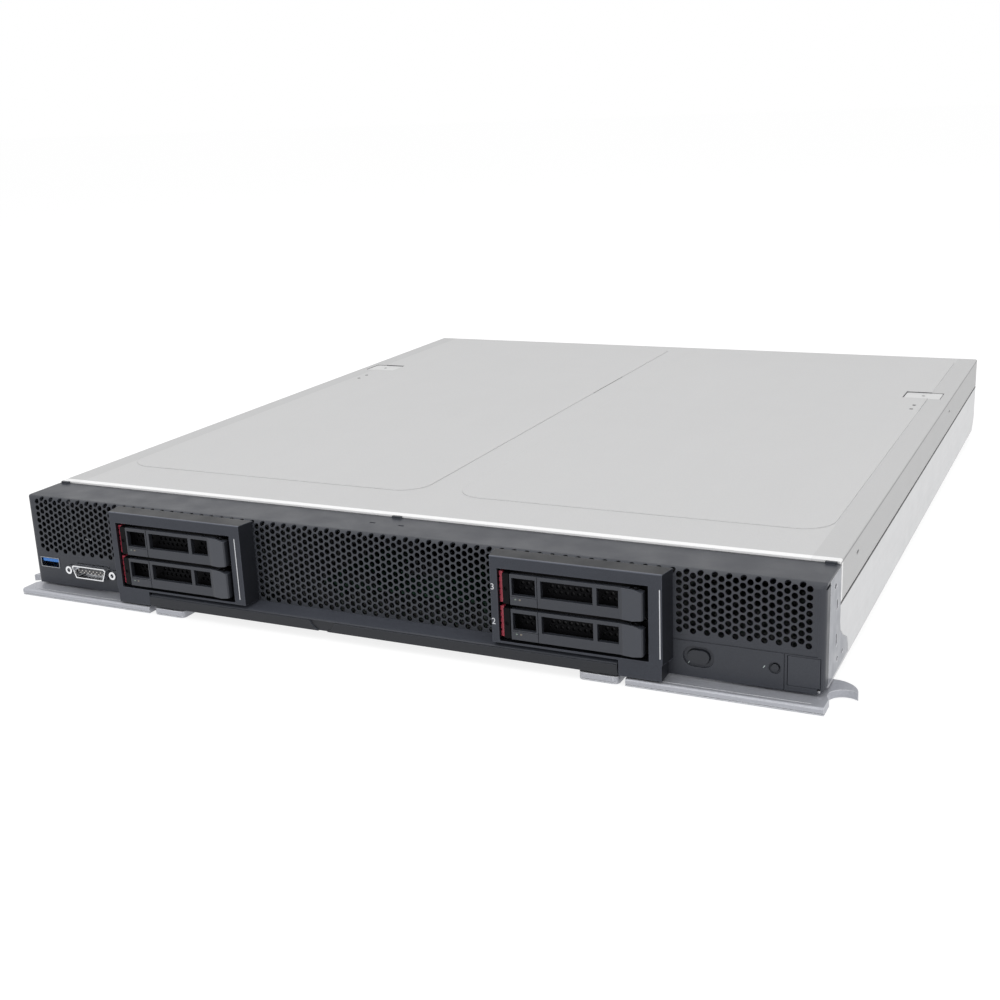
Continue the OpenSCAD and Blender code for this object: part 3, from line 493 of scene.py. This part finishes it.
def plated(name, colour, roughness):
    """Nickel plate with hairline scratches."""
    f = Finish(name, colour, roughness, 1.0)
    f.soft_edges(0.15 * MM)
    f.mottle(800, 0.94, 1.04)
    f.gloss(1600, roughness - 0.06, roughness + 0.14, detail=4, stretch=(1, 0.08, 1))
    f.grain(3000, 0.01 * MM, 0.3, detail=2, stretch=(1, 0.05, 1))
    return f.done()


def console_finish():
    """Bright connector shell round a dark contact block."""
    f = Finish("console_plate", (0.78, 0.79, 0.81), 0.2, 1.0)
    f.soft_edges(0.15 * MM)
    centre, front = middle("console_connector"), low("console_connector").y
    block = f.within(
        X=(centre.x - CONTACT_BLOCK_HALF, centre.x + CONTACT_BLOCK_HALF),
        Y=(front + 1.5 * MM, front + 9 * MM),
        Z=(centre.z - 1.4 * MM, centre.z + 1.2 * MM),
    )
    f.mottle(800, 0.94, 1.04)
    f.tint(block, (0.06, 0.06, 0.065))
    f.metal(f.math("SUBTRACT", 1.0, block))
    f.gloss(1600, 0.14, 0.34, detail=4, stretch=(1, 0.08, 1))
    f.grain(3000, 0.01 * MM, 0.3, detail=2, stretch=(1, 0.05, 1))
    return f.done()


def usb_shell():
    """Plated shell whose contact tongue is blue inside."""
    f = Finish("usb_shell", (0.34, 0.35, 0.37), 0.32, 1.0)
    corner_low, corner_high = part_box("usb_port")
    inside = f.within(
        X=(corner_low.x + USB_WALL, corner_high.x - USB_WALL),
        Y=(corner_low.y + USB_WALL, corner_high.y - 2.2 * MM),
        Z=(corner_low.z + 2.7 * MM, corner_high.z - USB_WALL),
    )
    f.mottle(900, 0.94, 1.04)
    f.tint(inside, (0.03, 0.2, 0.62))
    f.metal(f.math("SUBTRACT", 1.0, inside))
    f.gloss(700, 0.2, 0.36)
    f.soft_edges(0.15 * MM)
    return f.done()


def sink_metal():
    """Extruded aluminium with drawing lines along the fins."""
    drawn = (1, 0.04, 1)
    f = Finish("sink_metal", (0.77, 0.78, 0.8), 0.34, 1.0)
    f.mottle(1300, 0.92, 1.05, stretch=drawn)
    f.gloss(200, 0.28, 0.42)
    f.grain(2400, 0.02 * MM, 0.4, detail=2, stretch=drawn)
    return f.done()


def circuit_board(name, parts_above=None):
    """Solder mask over copper traces, and black parts above a height."""
    f = Finish(name, choices().board_colour, 0.33)
    lanes = f.math("GREATER_THAN", f.math("PINGPONG", f.axis("X"), 0.6 * MM), 0.42 * MM)
    routed = f.both(lanes, f.math("GREATER_THAN", f.noise(55, 2), 0.5))
    f.tint(f.both(routed, 0.6), (0.03, 0.14, 0.075))
    spots = f.math("LESS_THAN", f.cells(330), 0.12)
    pads = f.both(spots, f.math("GREATER_THAN", f.noise(40, 2), 0.54))
    f.tint(pads, (0.62, 0.6, 0.5))
    f.mottle(300, 0.92, 1.06)
    if parts_above is not None:
        f.tint(f.over("Z", parts_above), (0.018, 0.018, 0.02))
    f.relief(routed, 0.03 * MM, 0.4)
    f.gloss(120, 0.27, 0.42)
    return f.done()


def memory_finish():
    """Green module boards with black chips standing off each face."""
    f = Finish("memory_finish", (0.008, 0.045, 0.024), 0.36)
    in_pitch = f.math("WRAP", f.axis("X"), MEMORY_PITCH, 0.0)
    off_board = f.math("ABSOLUTE", f.math("SUBTRACT", in_pitch, MEMORY_PITCH / 2))
    chips = f.math("GREATER_THAN", off_board, 0.75 * MM)
    rows = f.math("GREATER_THAN", f.math("PINGPONG", f.axis("Y"), 6 * MM), 0.6 * MM)
    f.tint(f.both(chips, rows), (0.015, 0.015, 0.017))
    f.tint(f.under("Z", low("memory_modules").z + 3 * MM), (0.7, 0.5, 0.16))
    f.mottle(600, 0.92, 1.08)
    f.grain(1500, 0.02 * MM, 0.3, detail=2)
    return f.done()


def processor_finish():
    """Black socket frame, green package and a nickel lid."""
    f = Finish("processor_finish", BLACK_MOULDING, 0.4)
    base = low("processors").z
    f.tint(f.over("Z", base + 3.05 * MM), (0.03, 0.16, 0.07))
    lid = f.over("Z", base + 5.35 * MM)
    f.tint(lid, (0.7, 0.71, 0.73))
    f.metal(lid)
    f.mottle(800, 0.93, 1.05, detail=4)
    f.gloss(300, 0.28, 0.42)
    return f.done()


def battery_finish():
    """Steel coin cell in a black holder."""
    f = Finish("battery_finish", BLACK_MOULDING, 0.42)
    centre = middle("board_battery")
    across = f.math(
        "ADD",
        f.math("POWER", f.math("SUBTRACT", f.axis("X"), centre.x), 2.0),
        f.math("POWER", f.math("SUBTRACT", f.axis("Y"), centre.y), 2.0),
    )
    cell = f.math("LESS_THAN", across, CELL_RADIUS**2)
    f.tint(cell, (0.72, 0.73, 0.74))
    f.metal(cell)
    f.gloss(500, 0.24, 0.4, detail=4)
    f.grain(1800, 0.02 * MM, 0.3)
    return f.done()


def drive_case():
    """Cast and machined drive case with a black front end."""
    metallic = 0.9
    f = Finish("drive_case", (0.48, 0.49, 0.51), 0.36, metallic)
    f.soft_edges(0.3 * MM)
    f.mottle(1100, 0.9, 1.08, detail=4)
    front = f.under("Y", low("drive_left_lower").y + 0.5 * MM)
    f.tint(front, (0.012, 0.012, 0.014))
    f.metal(f.both(f.math("SUBTRACT", 1.0, front), metallic))
    f.gloss(180, 0.3, 0.48, detail=4)
    f.grain(1600, 0.03 * MM, 0.35)
    return f.done()


def handle_moulding(colour):
    """Grained handle whose swollen end is a little brighter."""
    f = Finish("handle_moulding", colour, 0.36)
    f.socket("Specular IOR Level", 0.36)
    f.soft_edges(0.35 * MM)
    spark = f.noise(SPARK_GRAIN)
    f.tone(f.spread(spark, 0.88, 1.14))
    swell = f.under("Y", low("tray_handle_left_lower").y + HANDLE_SWELL)
    f.tint(swell, scaled(colour, 1.35))
    # painted shade: the sides, which look along X, are darker
    f.tone(f.spread(f.facing("X"), 1.0, 0.5, 0.4, 0.8))
    # painted highlight along the edges
    f.paint_edge_highlights(0.3 * MM, scaled(colour, 2.8), 0.55)
    f.gloss(70, 0.3, 0.42)
    f.relief(spark, 0.025 * MM, 0.3)
    return f.done()


def latch_plastic():
    """Deep red translucent latch bars."""
    f = Finish("latch_plastic", choices().latch_colour, 0.3)
    f.soft_edges(0.25 * MM)
    f.mottle(1500, 0.88, 1.12)
    # painted highlight along the edges, in a pale red
    f.paint_edge_highlights(0.25 * MM, (0.8, 0.3, 0.36), 0.5)
    f.gloss(300, 0.25, 0.4)
    f.socket("Subsurface Weight", 0.15)
    f.socket("Subsurface Radius", (2 * MM, 0.6 * MM, 0.6 * MM))
    f.grain(2600, 0.02 * MM, 0.25, detail=2)
    return f.done()


def printed(name, colour):
    """Slightly uneven printing ink."""
    f = Finish(name, colour, 0.5)
    f.mottle(2200, 0.86, 1.08, detail=4)
    f.grain(4000, 0.01 * MM, 0.3, detail=2)
    return f.done()


def lens(name, colour, glow):
    """Small moulded lens, faintly lit."""
    f = Finish(name, colour, 0.16)
    f.mottle(900, 0.85, 1.15)
    f.socket("Emission Color", (*colour, 1.0))
    f.socket("Emission Strength", glow)
    f.socket("Coat Weight", 0.6)
    f.grain(1500, 0.01 * MM, 0.3, detail=2)
    return f.done()


# Piece work --------------------------------------------------------------------


def piece(name, mesh_maker, material, body, smooth=False):
    """Makes a piece from bmesh code and lets it ride on a body."""
    work = bmesh.new()
    mesh_maker(work)
    bmesh.ops.remove_doubles(work, verts=work.verts, dist=1e-6)
    bmesh.ops.recalc_face_normals(work, faces=work.faces)
    mesh = bpy.data.meshes.new(name)
    work.to_mesh(mesh)
    work.free()
    for face in mesh.polygons:
        face.use_smooth = smooth
    made = bpy.data.objects.new(name, mesh)
    bpy.context.scene.collection.objects.link(made)
    made.data.materials.append(material)
    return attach(made, body)


def add_block(work, corner_low, corner_high, ease=0.0):
    """A block between two corners with eased edges."""
    size = Vector(corner_high) - Vector(corner_low)
    place = Matrix.Translation((Vector(corner_low) + Vector(corner_high)) / 2)
    matrix = place @ Matrix.Diagonal((*size, 1.0))
    made = bmesh.ops.create_cube(work, size=1.0, matrix=matrix)
    if ease:
        edges = {edge for vert in made["verts"] for edge in vert.link_edges}
        bmesh.ops.bevel(work, geom=list(edges), offset=ease, segments=2, affect="EDGES")


def add_turned(work, centre, profile, axis="Y", steps=32):
    """A turned form: profile of (radius, height) pairs, height along -Y or Z."""
    rings = []
    for radius, height in profile:
        ring = []
        for step in range(steps):
            angle = 2 * math.pi * step / steps
            across, up = radius * math.cos(angle), radius * math.sin(angle)
            offset = (across, -height, up) if axis == "Y" else (across, up, height)
            ring.append(work.verts.new(Vector(centre) + Vector(offset)))
        rings.append(ring)
    for lower, upper in zip(rings, rings[1:]):
        for step in range(steps):
            after = (step + 1) % steps
            work.faces.new((lower[step], lower[after], upper[after], upper[step]))
    work.faces.new(rings[-1])
    work.faces.new(list(reversed(rings[0])))


def flat_text(name, body_text, size, place, material, body):
    """A plain printed numeral on the front, as thin extruded text."""
    curve = bpy.data.curves.new(name, "FONT")
    curve.body = body_text
    curve.size = size
    curve.align_x = "CENTER"
    curve.align_y = "CENTER"
    curve.extrude = 0.02 * MM
    curve.resolution_u = 6
    curve.materials.append(material)
    made = bpy.data.objects.new(name, curve)
    made.matrix_world = Matrix.Translation(place) @ Matrix.Rotation(math.pi / 2, 4, "X")
    bpy.context.scene.collection.objects.link(made)
    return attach(made, body)


# Choices -------------------------------------------------------------------------


class BladeLooks(bpy.types.PropertyGroup):
    """Colours and sizes that a user may change."""

    cover_colour: FloatVectorProperty(
        name="Cover", description="Paint of the cover", subtype="COLOR",
        size=3, min=0, max=1, default=(0.577, 0.577, 0.58))
    steel_colour: FloatVectorProperty(
        name="Steel", description="Plated sheet of the tray", subtype="COLOR",
        size=3, min=0, max=1, default=(0.6, 0.603, 0.612))
    bezel_colour: FloatVectorProperty(
        name="Bezel", description="Moulded front", subtype="COLOR",
        size=3, min=0, max=1, default=(0.0405, 0.044, 0.054))
    lever_colour: FloatVectorProperty(
        name="Levers", description="Paint of the cam levers", subtype="COLOR",
        size=3, min=0, max=1, default=(0.43, 0.44, 0.48))
    board_colour: FloatVectorProperty(
        name="Boards", description="Solder mask of the circuit boards", subtype="COLOR",
        size=3, min=0, max=1, default=(0.008, 0.044, 0.023))
    latch_colour: FloatVectorProperty(
        name="Latches", description="Bars that release the drive handles", subtype="COLOR",
        size=3, min=0, max=1, default=(0.42, 0.04, 0.07))
    numeral_size: FloatProperty(
        name="Numeral size", description="Height of the bay numbers", subtype="DISTANCE",
        default=0.0042, min=0.002, max=0.01)
    line_width: FloatProperty(
        name="Cage line", description="Width of the printed line on each cage",
        subtype="DISTANCE", default=0.00045, min=0.0001, max=0.001)
    light_size: FloatProperty(
        name="Tray lights", description="Width of a tray's status light", subtype="DISTANCE",
        default=0.0009, min=0.0005, max=0.003)


# Operators -------------------------------------------------------------------------


class BLADE_OT_chassis(bpy.types.Operator):
    """Finish the tray, cheeks and drive bays"""

    bl_idname = "blade.chassis"
    bl_label = "Chassis"

    def execute(self, context):
        dress(zinc_sheet("zinc_tray", True), "chassis_tray")
        dress(zinc_sheet("zinc_sheet"), "drive_bay_left", "drive_bay_right",
              "cover_latch_brackets")
        dress(cheek_metal(), "front_frame")
        dress(plated("screw_plate", (0.7, 0.71, 0.73), 0.3), "lever_pivots", "board_screws")
        return {"FINISHED"}


class BLADE_OT_cover(bpy.types.Operator):
    """Finish the sliding cover and its two latches"""

    bl_idname = "blade.cover"
    bl_label = "Cover"

    def execute(self, context):
        dress(cover_paint(), "top_cover")
        dress(latch_paint(), "cover_latch_left", "cover_latch_right")
        return {"FINISHED"}


class BLADE_OT_front(bpy.types.Operator):
    """Finish the moulded front: rail, grilles, panels, lip and cages"""

    bl_idname = "blade.front"
    bl_label = "Moulded front"

    def execute(self, context):
        colour = tuple(choices().bezel_colour)
        dress(moulded("bezel_moulding", colour, 0.4), "bezel_frame", "port_panel",
              "operator_panel")
        # grilles: painted shade on the walls of the vent holes
        dress(moulded("grille_moulding", colour, 0.4, front=(0.22, 1.0)), "grille_left",
              "grille_centre", "grille_right")
        # cages: painted shade on the sides and top, a brighter front and a painted highlight on
        # the front top edge
        cage = moulded("cage_moulding", colour, 0.36, edge=0.95, front=(0.36, 1.22),
                       edge_width=0.55 * MM, shine=0.16, crest="cage_front_right")
        dress(cage, "cage_front_left", "cage_front_right")
        # lip: painted light on its top and painted shade on its front
        dress(moulded("lip_moulding", colour, 0.42, front=(1.5, 0.5)), "lower_lip")
        tab = moulded("tab_moulding", scaled(colour, 1.1), 0.34, grain=0.2)
        dress(tab, "label_tab")
        button = moulded("button_moulding", scaled(colour, 0.7), 0.34, grain=0.2)
        dress(button, "power_button", "service_button")
        return {"FINISHED"}


class BLADE_OT_levers(bpy.types.Operator):
    """Finish the cam levers and their release tabs"""

    bl_idname = "blade.levers"
    bl_label = "Levers"

    def execute(self, context):
        dress(lever_metal(), "lever_left", "lever_right", "lever_latch_left",
              "lever_latch_right")
        return {"FINISHED"}


class BLADE_OT_drives(bpy.types.Operator):
    """Finish the trays, drives, handles and red latches"""

    bl_idname = "blade.drives"
    bl_label = "Drives"

    def execute(self, context):
        colour = tuple(choices().bezel_colour)
        tray = moulded("tray_moulding", (0.005, 0.005, 0.006), 0.55, shine=0.08)
        handle = handle_moulding(colour)
        case, red = drive_case(), latch_plastic()
        for cage in CAGES:
            for level in LEVELS:
                which = cage + "_" + level
                dress(tray, "tray_" + which)
                dress(case, "drive_" + which)
                dress(handle, "tray_handle_" + which)
                dress(red, "tray_latch_" + which)
        return {"FINISHED"}


class BLADE_OT_ports(bpy.types.Operator):
    """Finish the two front ports and add their contacts"""

    bl_idname = "blade.ports"
    bl_label = "Front ports"

    def execute(self, context):
        dress(usb_shell(), "usb_port")
        dress(console_finish(), "console_connector")
        contact = plated("contact_plate", (0.62, 0.6, 0.56), 0.28)
        centre = middle("console_connector")
        block_front = low("console_connector").y + 2 * MM
        domed = ((PIN_RADIUS, -0.02 * MM), (PIN_RADIUS, 0.05 * MM), (0.2 * MM, 0.08 * MM))

        def pins(work):
            for row, count in PIN_ROWS:
                for column in range(count):
                    x = centre.x + (column - (count - 1) / 2) * PIN_PITCH
                    z = centre.z + row * PIN_ROW_SHIFT - 0.1 * MM
                    add_turned(work, (x, block_front, z), domed, steps=12)

        piece("console_contacts", pins, contact, "chassis")
        port, port_front = middle("usb_port"), low("usb_port").y
        tongue_z = port.z + 0.2 * MM

        def strips(work):
            for spot in STRIP_SPOTS:
                left = port.x + spot - STRIP_WIDTH / 2
                add_block(work, (left, port_front + 1.1 * MM, tongue_z - 0.06 * MM),
                          (left + STRIP_WIDTH, port_front + 9 * MM, tongue_z + 0.02 * MM),
                          0.02 * MM)

        piece("usb_contacts", strips, contact, "chassis")
        return {"FINISHED"}


class BLADE_OT_inside(bpy.types.Operator):
    """Finish the boards, processors, memory and heat sinks"""

    bl_idname = "blade.inside"
    bl_label = "Inside"

    def execute(self, context):
        dress(circuit_board("main_board"), "system_board")
        dress(circuit_board("bay_board"), "backplane_left", "backplane_right")
        adapter_top = low("storage_adapter").z + 8.7 * MM
        dress(circuit_board("storage_board", adapter_top), "storage_adapter")
        card_top = low("io_adapter_left").z + 15.7 * MM
        dress(circuit_board("adapter_board", card_top), "io_adapter_left", "io_adapter_right")
        black = moulded("connector_black", BLACK_MOULDING, 0.4)
        dress(black, "memory_sockets", "midplane_connectors", "air_baffle")
        dress(memory_finish(), "memory_modules")
        dress(processor_finish(), "processors")
        dress(battery_finish(), "board_battery")
        dress(sink_metal(), "heat_sink_front_left", "heat_sink_front_right",
              "heat_sink_rear_left", "heat_sink_rear_right")
        return {"FINISHED"}


class BLADE_OT_cage_print(bpy.types.Operator):
    """Print the bay numbers and the fine line on each drive cage"""

    bl_idname = "blade.cage_print"
    bl_label = "Cage printing"

    def execute(self, context):
        ink = printed("front_ink", (0.74, 0.75, 0.78))
        width = choices().line_width
        for cage in CAGES:
            node = "cage_front_" + cage
            face_y = low(node).y
            line_x = high(node).x - LINE_INSETS[cage]
            bottom = low("tray_" + cage + "_lower").z + LINE_BOTTOM
            top = high("tray_" + cage + "_upper").z + LINE_TOP

            def line(work, x=line_x, y=face_y, z0=bottom, z1=top):
                add_block(work, (x - width / 2, y - INK_RELIEF, z0),
                          (x + width / 2, y + INK_RELIEF, z1), 0.01 * MM)

            piece("cage_line_" + cage, line, ink, "chassis")
        number_x = low("tray_right_lower").x - NUMBER_INSET
        for level, text in (("lower", "2"), ("upper", "3")):
            place = (number_x, low("cage_front_right").y, middle("tray_right_" + level).z)
            flat_text("bay_number_" + level, text, choices().numeral_size, place, ink,
                      "chassis")
        return {"FINISHED"}


class BLADE_OT_lights(bpy.types.Operator):
    """Add the status lights of the trays and the operator panel"""

    bl_idname = "blade.lights"
    bl_label = "Status lights"

    def execute(self, context):
        green = lens("lens_green", (0.12, 0.17, 0.14), 0.01)
        amber = lens("lens_amber", (0.19, 0.16, 0.12), 0.01)
        size = choices().light_size
        for cage in CAGES:
            for level in LEVELS:
                which = cage + "_" + level
                corner = low("tray_handle_" + which)
                face_y = corner.y + LIGHT_DEPTH
                for number, material in enumerate((green, amber)):
                    x = corner.x + LIGHT_INSETS[number]
                    z = corner.z + LIGHT_HEIGHT

                    def lamp(work, x=x, y=face_y, z=z):
                        add_block(work, (x - size / 2, y - 0.12 * MM, z - size * 0.4),
                                  (x + size / 2, y + 0.2 * MM, z + size * 0.4), 0.1 * MM)

                    piece("tray_light_%s_%d" % (which, number), lamp, material,
                          "tray_handle_" + which, True)
        pale = lens("lens_pale", (0.5, 0.58, 0.56), 0.05)
        panel_y = low("operator_panel").y
        for name, y, shift in (
            ("power", panel_y + BUTTON_RECESS, POWER_LIGHT_SHIFT),
            ("service", panel_y, SERVICE_LIGHT_SHIFT),
        ):
            button = middle(name + "_button")
            place = (button.x + shift[0], y, button.z + shift[1])

            def stroke(work, place=place):
                half_width, half_height = STROKE_HALF
                lean = Matrix.Translation(place) @ Matrix.Rotation(STROKE_LEAN, 4, "Y")
                add_block(work, (-half_width, -0.06 * MM, -half_height),
                          (half_width, 0.1 * MM, half_height), 0.05 * MM)
                bmesh.ops.transform(work, matrix=lean, verts=work.verts)

            piece(name + "_light", stroke, pale, "chassis", True)
        return {"FINISHED"}


class BLADE_OT_stage(bpy.types.Operator):
    """Set the camera, the pale floor, the soft lamps and the surroundings"""

    bl_idname = "blade.stage"
    bl_label = "Stage"

    def execute(self, context):
        scene = context.scene
        scene.view_settings.view_transform = "Standard"
        aim_camera(scene)
        pale_floor(scene)
        soft_lamps(scene)
        pale_world(scene)
        return {"FINISHED"}


# Stage -------------------------------------------------------------------------


def aim_camera(scene):
    """Camera above the right front corner, rolled slightly."""
    turn, rise, roll = map(math.radians, (CAMERA_TURN, CAMERA_RISE, CAMERA_ROLL))
    back = Vector((math.sin(turn) * math.cos(rise), -math.cos(turn) * math.cos(rise),
                   math.sin(rise)))
    across = (-back).cross(Vector((0, 0, 1))).normalized()
    upward = across.cross(-back)
    right = math.cos(roll) * across + math.sin(roll) * upward
    above = -math.sin(roll) * across + math.cos(roll) * upward
    data = bpy.data.cameras.new("camera")
    data.sensor_width = SENSOR_WIDTH
    data.lens = SENSOR_WIDTH * FOCAL_WIDTHS
    data.clip_start = 0.01
    data.clip_end = 50
    made = bpy.data.objects.new("camera", data)
    turned = Matrix((right, above, back)).transposed().to_4x4()
    made.matrix_world = Matrix.Translation(CAMERA_PLACE) @ turned
    scene.collection.objects.link(made)
    scene.camera = made


def seen_ray(tree):
    """1 for what the camera, a mirror or glass shows, 0 for lighting."""
    path = tree.nodes.new("ShaderNodeLightPath")
    first = tree.nodes.new("ShaderNodeMath")
    first.operation = "MAXIMUM"
    tree.links.new(path.outputs["Is Camera Ray"], first.inputs[0])
    tree.links.new(path.outputs["Is Glossy Ray"], first.inputs[1])
    second = tree.nodes.new("ShaderNodeMath")
    second.operation = "MAXIMUM"
    tree.links.new(first.outputs[0], second.inputs[0])
    tree.links.new(path.outputs["Is Transmission Ray"], second.inputs[1])
    return second.outputs[0]


def pale_floor(scene):
    """A wide pale floor at the height the levers rest on."""
    mesh = bpy.data.meshes.new("floor")
    level = CAD_BOX[0][2] - FLOOR_GAP
    corners = [(side * FLOOR_REACH, end * FLOOR_REACH, level)
               for side, end in ((-1, -1), (1, -1), (1, 1), (-1, 1))]
    mesh.from_pydata(corners, [], [(0, 1, 2, 3)])
    floor = bpy.data.objects.new("floor", mesh)
    scene.collection.objects.link(floor)
    material = bpy.data.materials.new("floor_card")
    material.use_nodes = True
    tree = material.node_tree
    tree.nodes.clear()
    out = tree.nodes.new("ShaderNodeOutputMaterial")
    card = tree.nodes.new("ShaderNodeBsdfDiffuse")
    grain = tree.nodes.new("ShaderNodeTexNoise")
    grain.inputs["Scale"].default_value = 400
    shade = tree.nodes.new("ShaderNodeMapRange")
    shade.inputs["To Min"].default_value = FLOOR_TONES[0]
    shade.inputs["To Max"].default_value = FLOOR_TONES[1]
    tree.links.new(grain.outputs["Fac"], shade.inputs["Value"])
    tree.links.new(shade.outputs["Result"], card.inputs["Color"])
    glow = tree.nodes.new("ShaderNodeEmission")
    glow.inputs["Color"].default_value = (1, 1, 1, 1)
    glow.inputs["Strength"].default_value = FLOOR_GLOW
    mix = tree.nodes.new("ShaderNodeMixShader")
    share = tree.nodes.new("ShaderNodeMath")
    share.operation = "MULTIPLY"
    share.inputs[1].default_value = FLOOR_GLOW_SHARE
    tree.links.new(seen_ray(tree), share.inputs[0])
    tree.links.new(share.outputs[0], mix.inputs[0])
    tree.links.new(card.outputs[0], mix.inputs[1])
    tree.links.new(glow.outputs[0], mix.inputs[2])
    tree.links.new(mix.outputs[0], out.inputs["Surface"])
    mesh.materials.append(material)


def soft_lamps(scene):
    """Three large soft boxes."""
    for name, place, size, power in LAMPS:
        data = bpy.data.lights.new(name, "AREA")
        data.shape = "SQUARE"
        data.size = size
        data.energy = power
        lamp = bpy.data.objects.new(name, data)
        aim = (LAMP_AIM - Vector(place)).to_track_quat("-Z", "Y")
        lamp.matrix_world = Matrix.Translation(place) @ aim.to_matrix().to_4x4()
        scene.collection.objects.link(lamp)


def pale_world(scene):
    """Even pale surroundings: white where seen, softer as light."""
    world = bpy.data.worlds.new("surroundings")
    world.use_nodes = True
    tree = world.node_tree
    tree.nodes.clear()
    out = tree.nodes.new("ShaderNodeOutputWorld")
    lit = tree.nodes.new("ShaderNodeBackground")
    lit.inputs["Color"].default_value = (1, 1, 1, 1)
    strength = tree.nodes.new("ShaderNodeMapRange")
    strength.inputs["To Min"].default_value = SURROUNDINGS_LIGHT
    strength.inputs["To Max"].default_value = SURROUNDINGS_SEEN
    tree.links.new(seen_ray(tree), strength.inputs["Value"])
    tree.links.new(strength.outputs["Result"], lit.inputs["Strength"])
    tree.links.new(lit.outputs[0], out.inputs["Surface"])
    scene.world = world


# Panel and registration -----------------------------------------------------------

OPERATORS = (
    BLADE_OT_stage, BLADE_OT_chassis, BLADE_OT_cover, BLADE_OT_front, BLADE_OT_levers,
    BLADE_OT_drives, BLADE_OT_ports, BLADE_OT_inside, BLADE_OT_cage_print, BLADE_OT_lights,
)


class BLADE_PT_looks(bpy.types.Panel):
    """Colours, sizes and steps of the blade server's looks"""

    bl_idname = "BLADE_PT_looks"
    bl_label = "Blade server"
    bl_space_type = "VIEW_3D"
    bl_region_type = "UI"
    bl_category = "Blade"

    def draw(self, context):
        looks = context.scene.blade_looks
        for name in BladeLooks.__annotations__:
            self.layout.prop(looks, name)
        for step in OPERATORS:
            self.layout.operator(step.bl_idname)


CLASSES = (BladeLooks, *OPERATORS, BLADE_PT_looks)


def register():
    for each in CLASSES:
        bpy.utils.register_class(each)
    bpy.types.Scene.blade_looks = PointerProperty(type=BladeLooks)


def unregister():
    del bpy.types.Scene.blade_looks
    for each in reversed(CLASSES):
        bpy.utils.unregister_class(each)


def main():
    register()
    for step in OPERATORS:
        group, name = step.bl_idname.split(".")
        getattr(getattr(bpy.ops, group), name)()


if __name__ == "__main__":
    main()
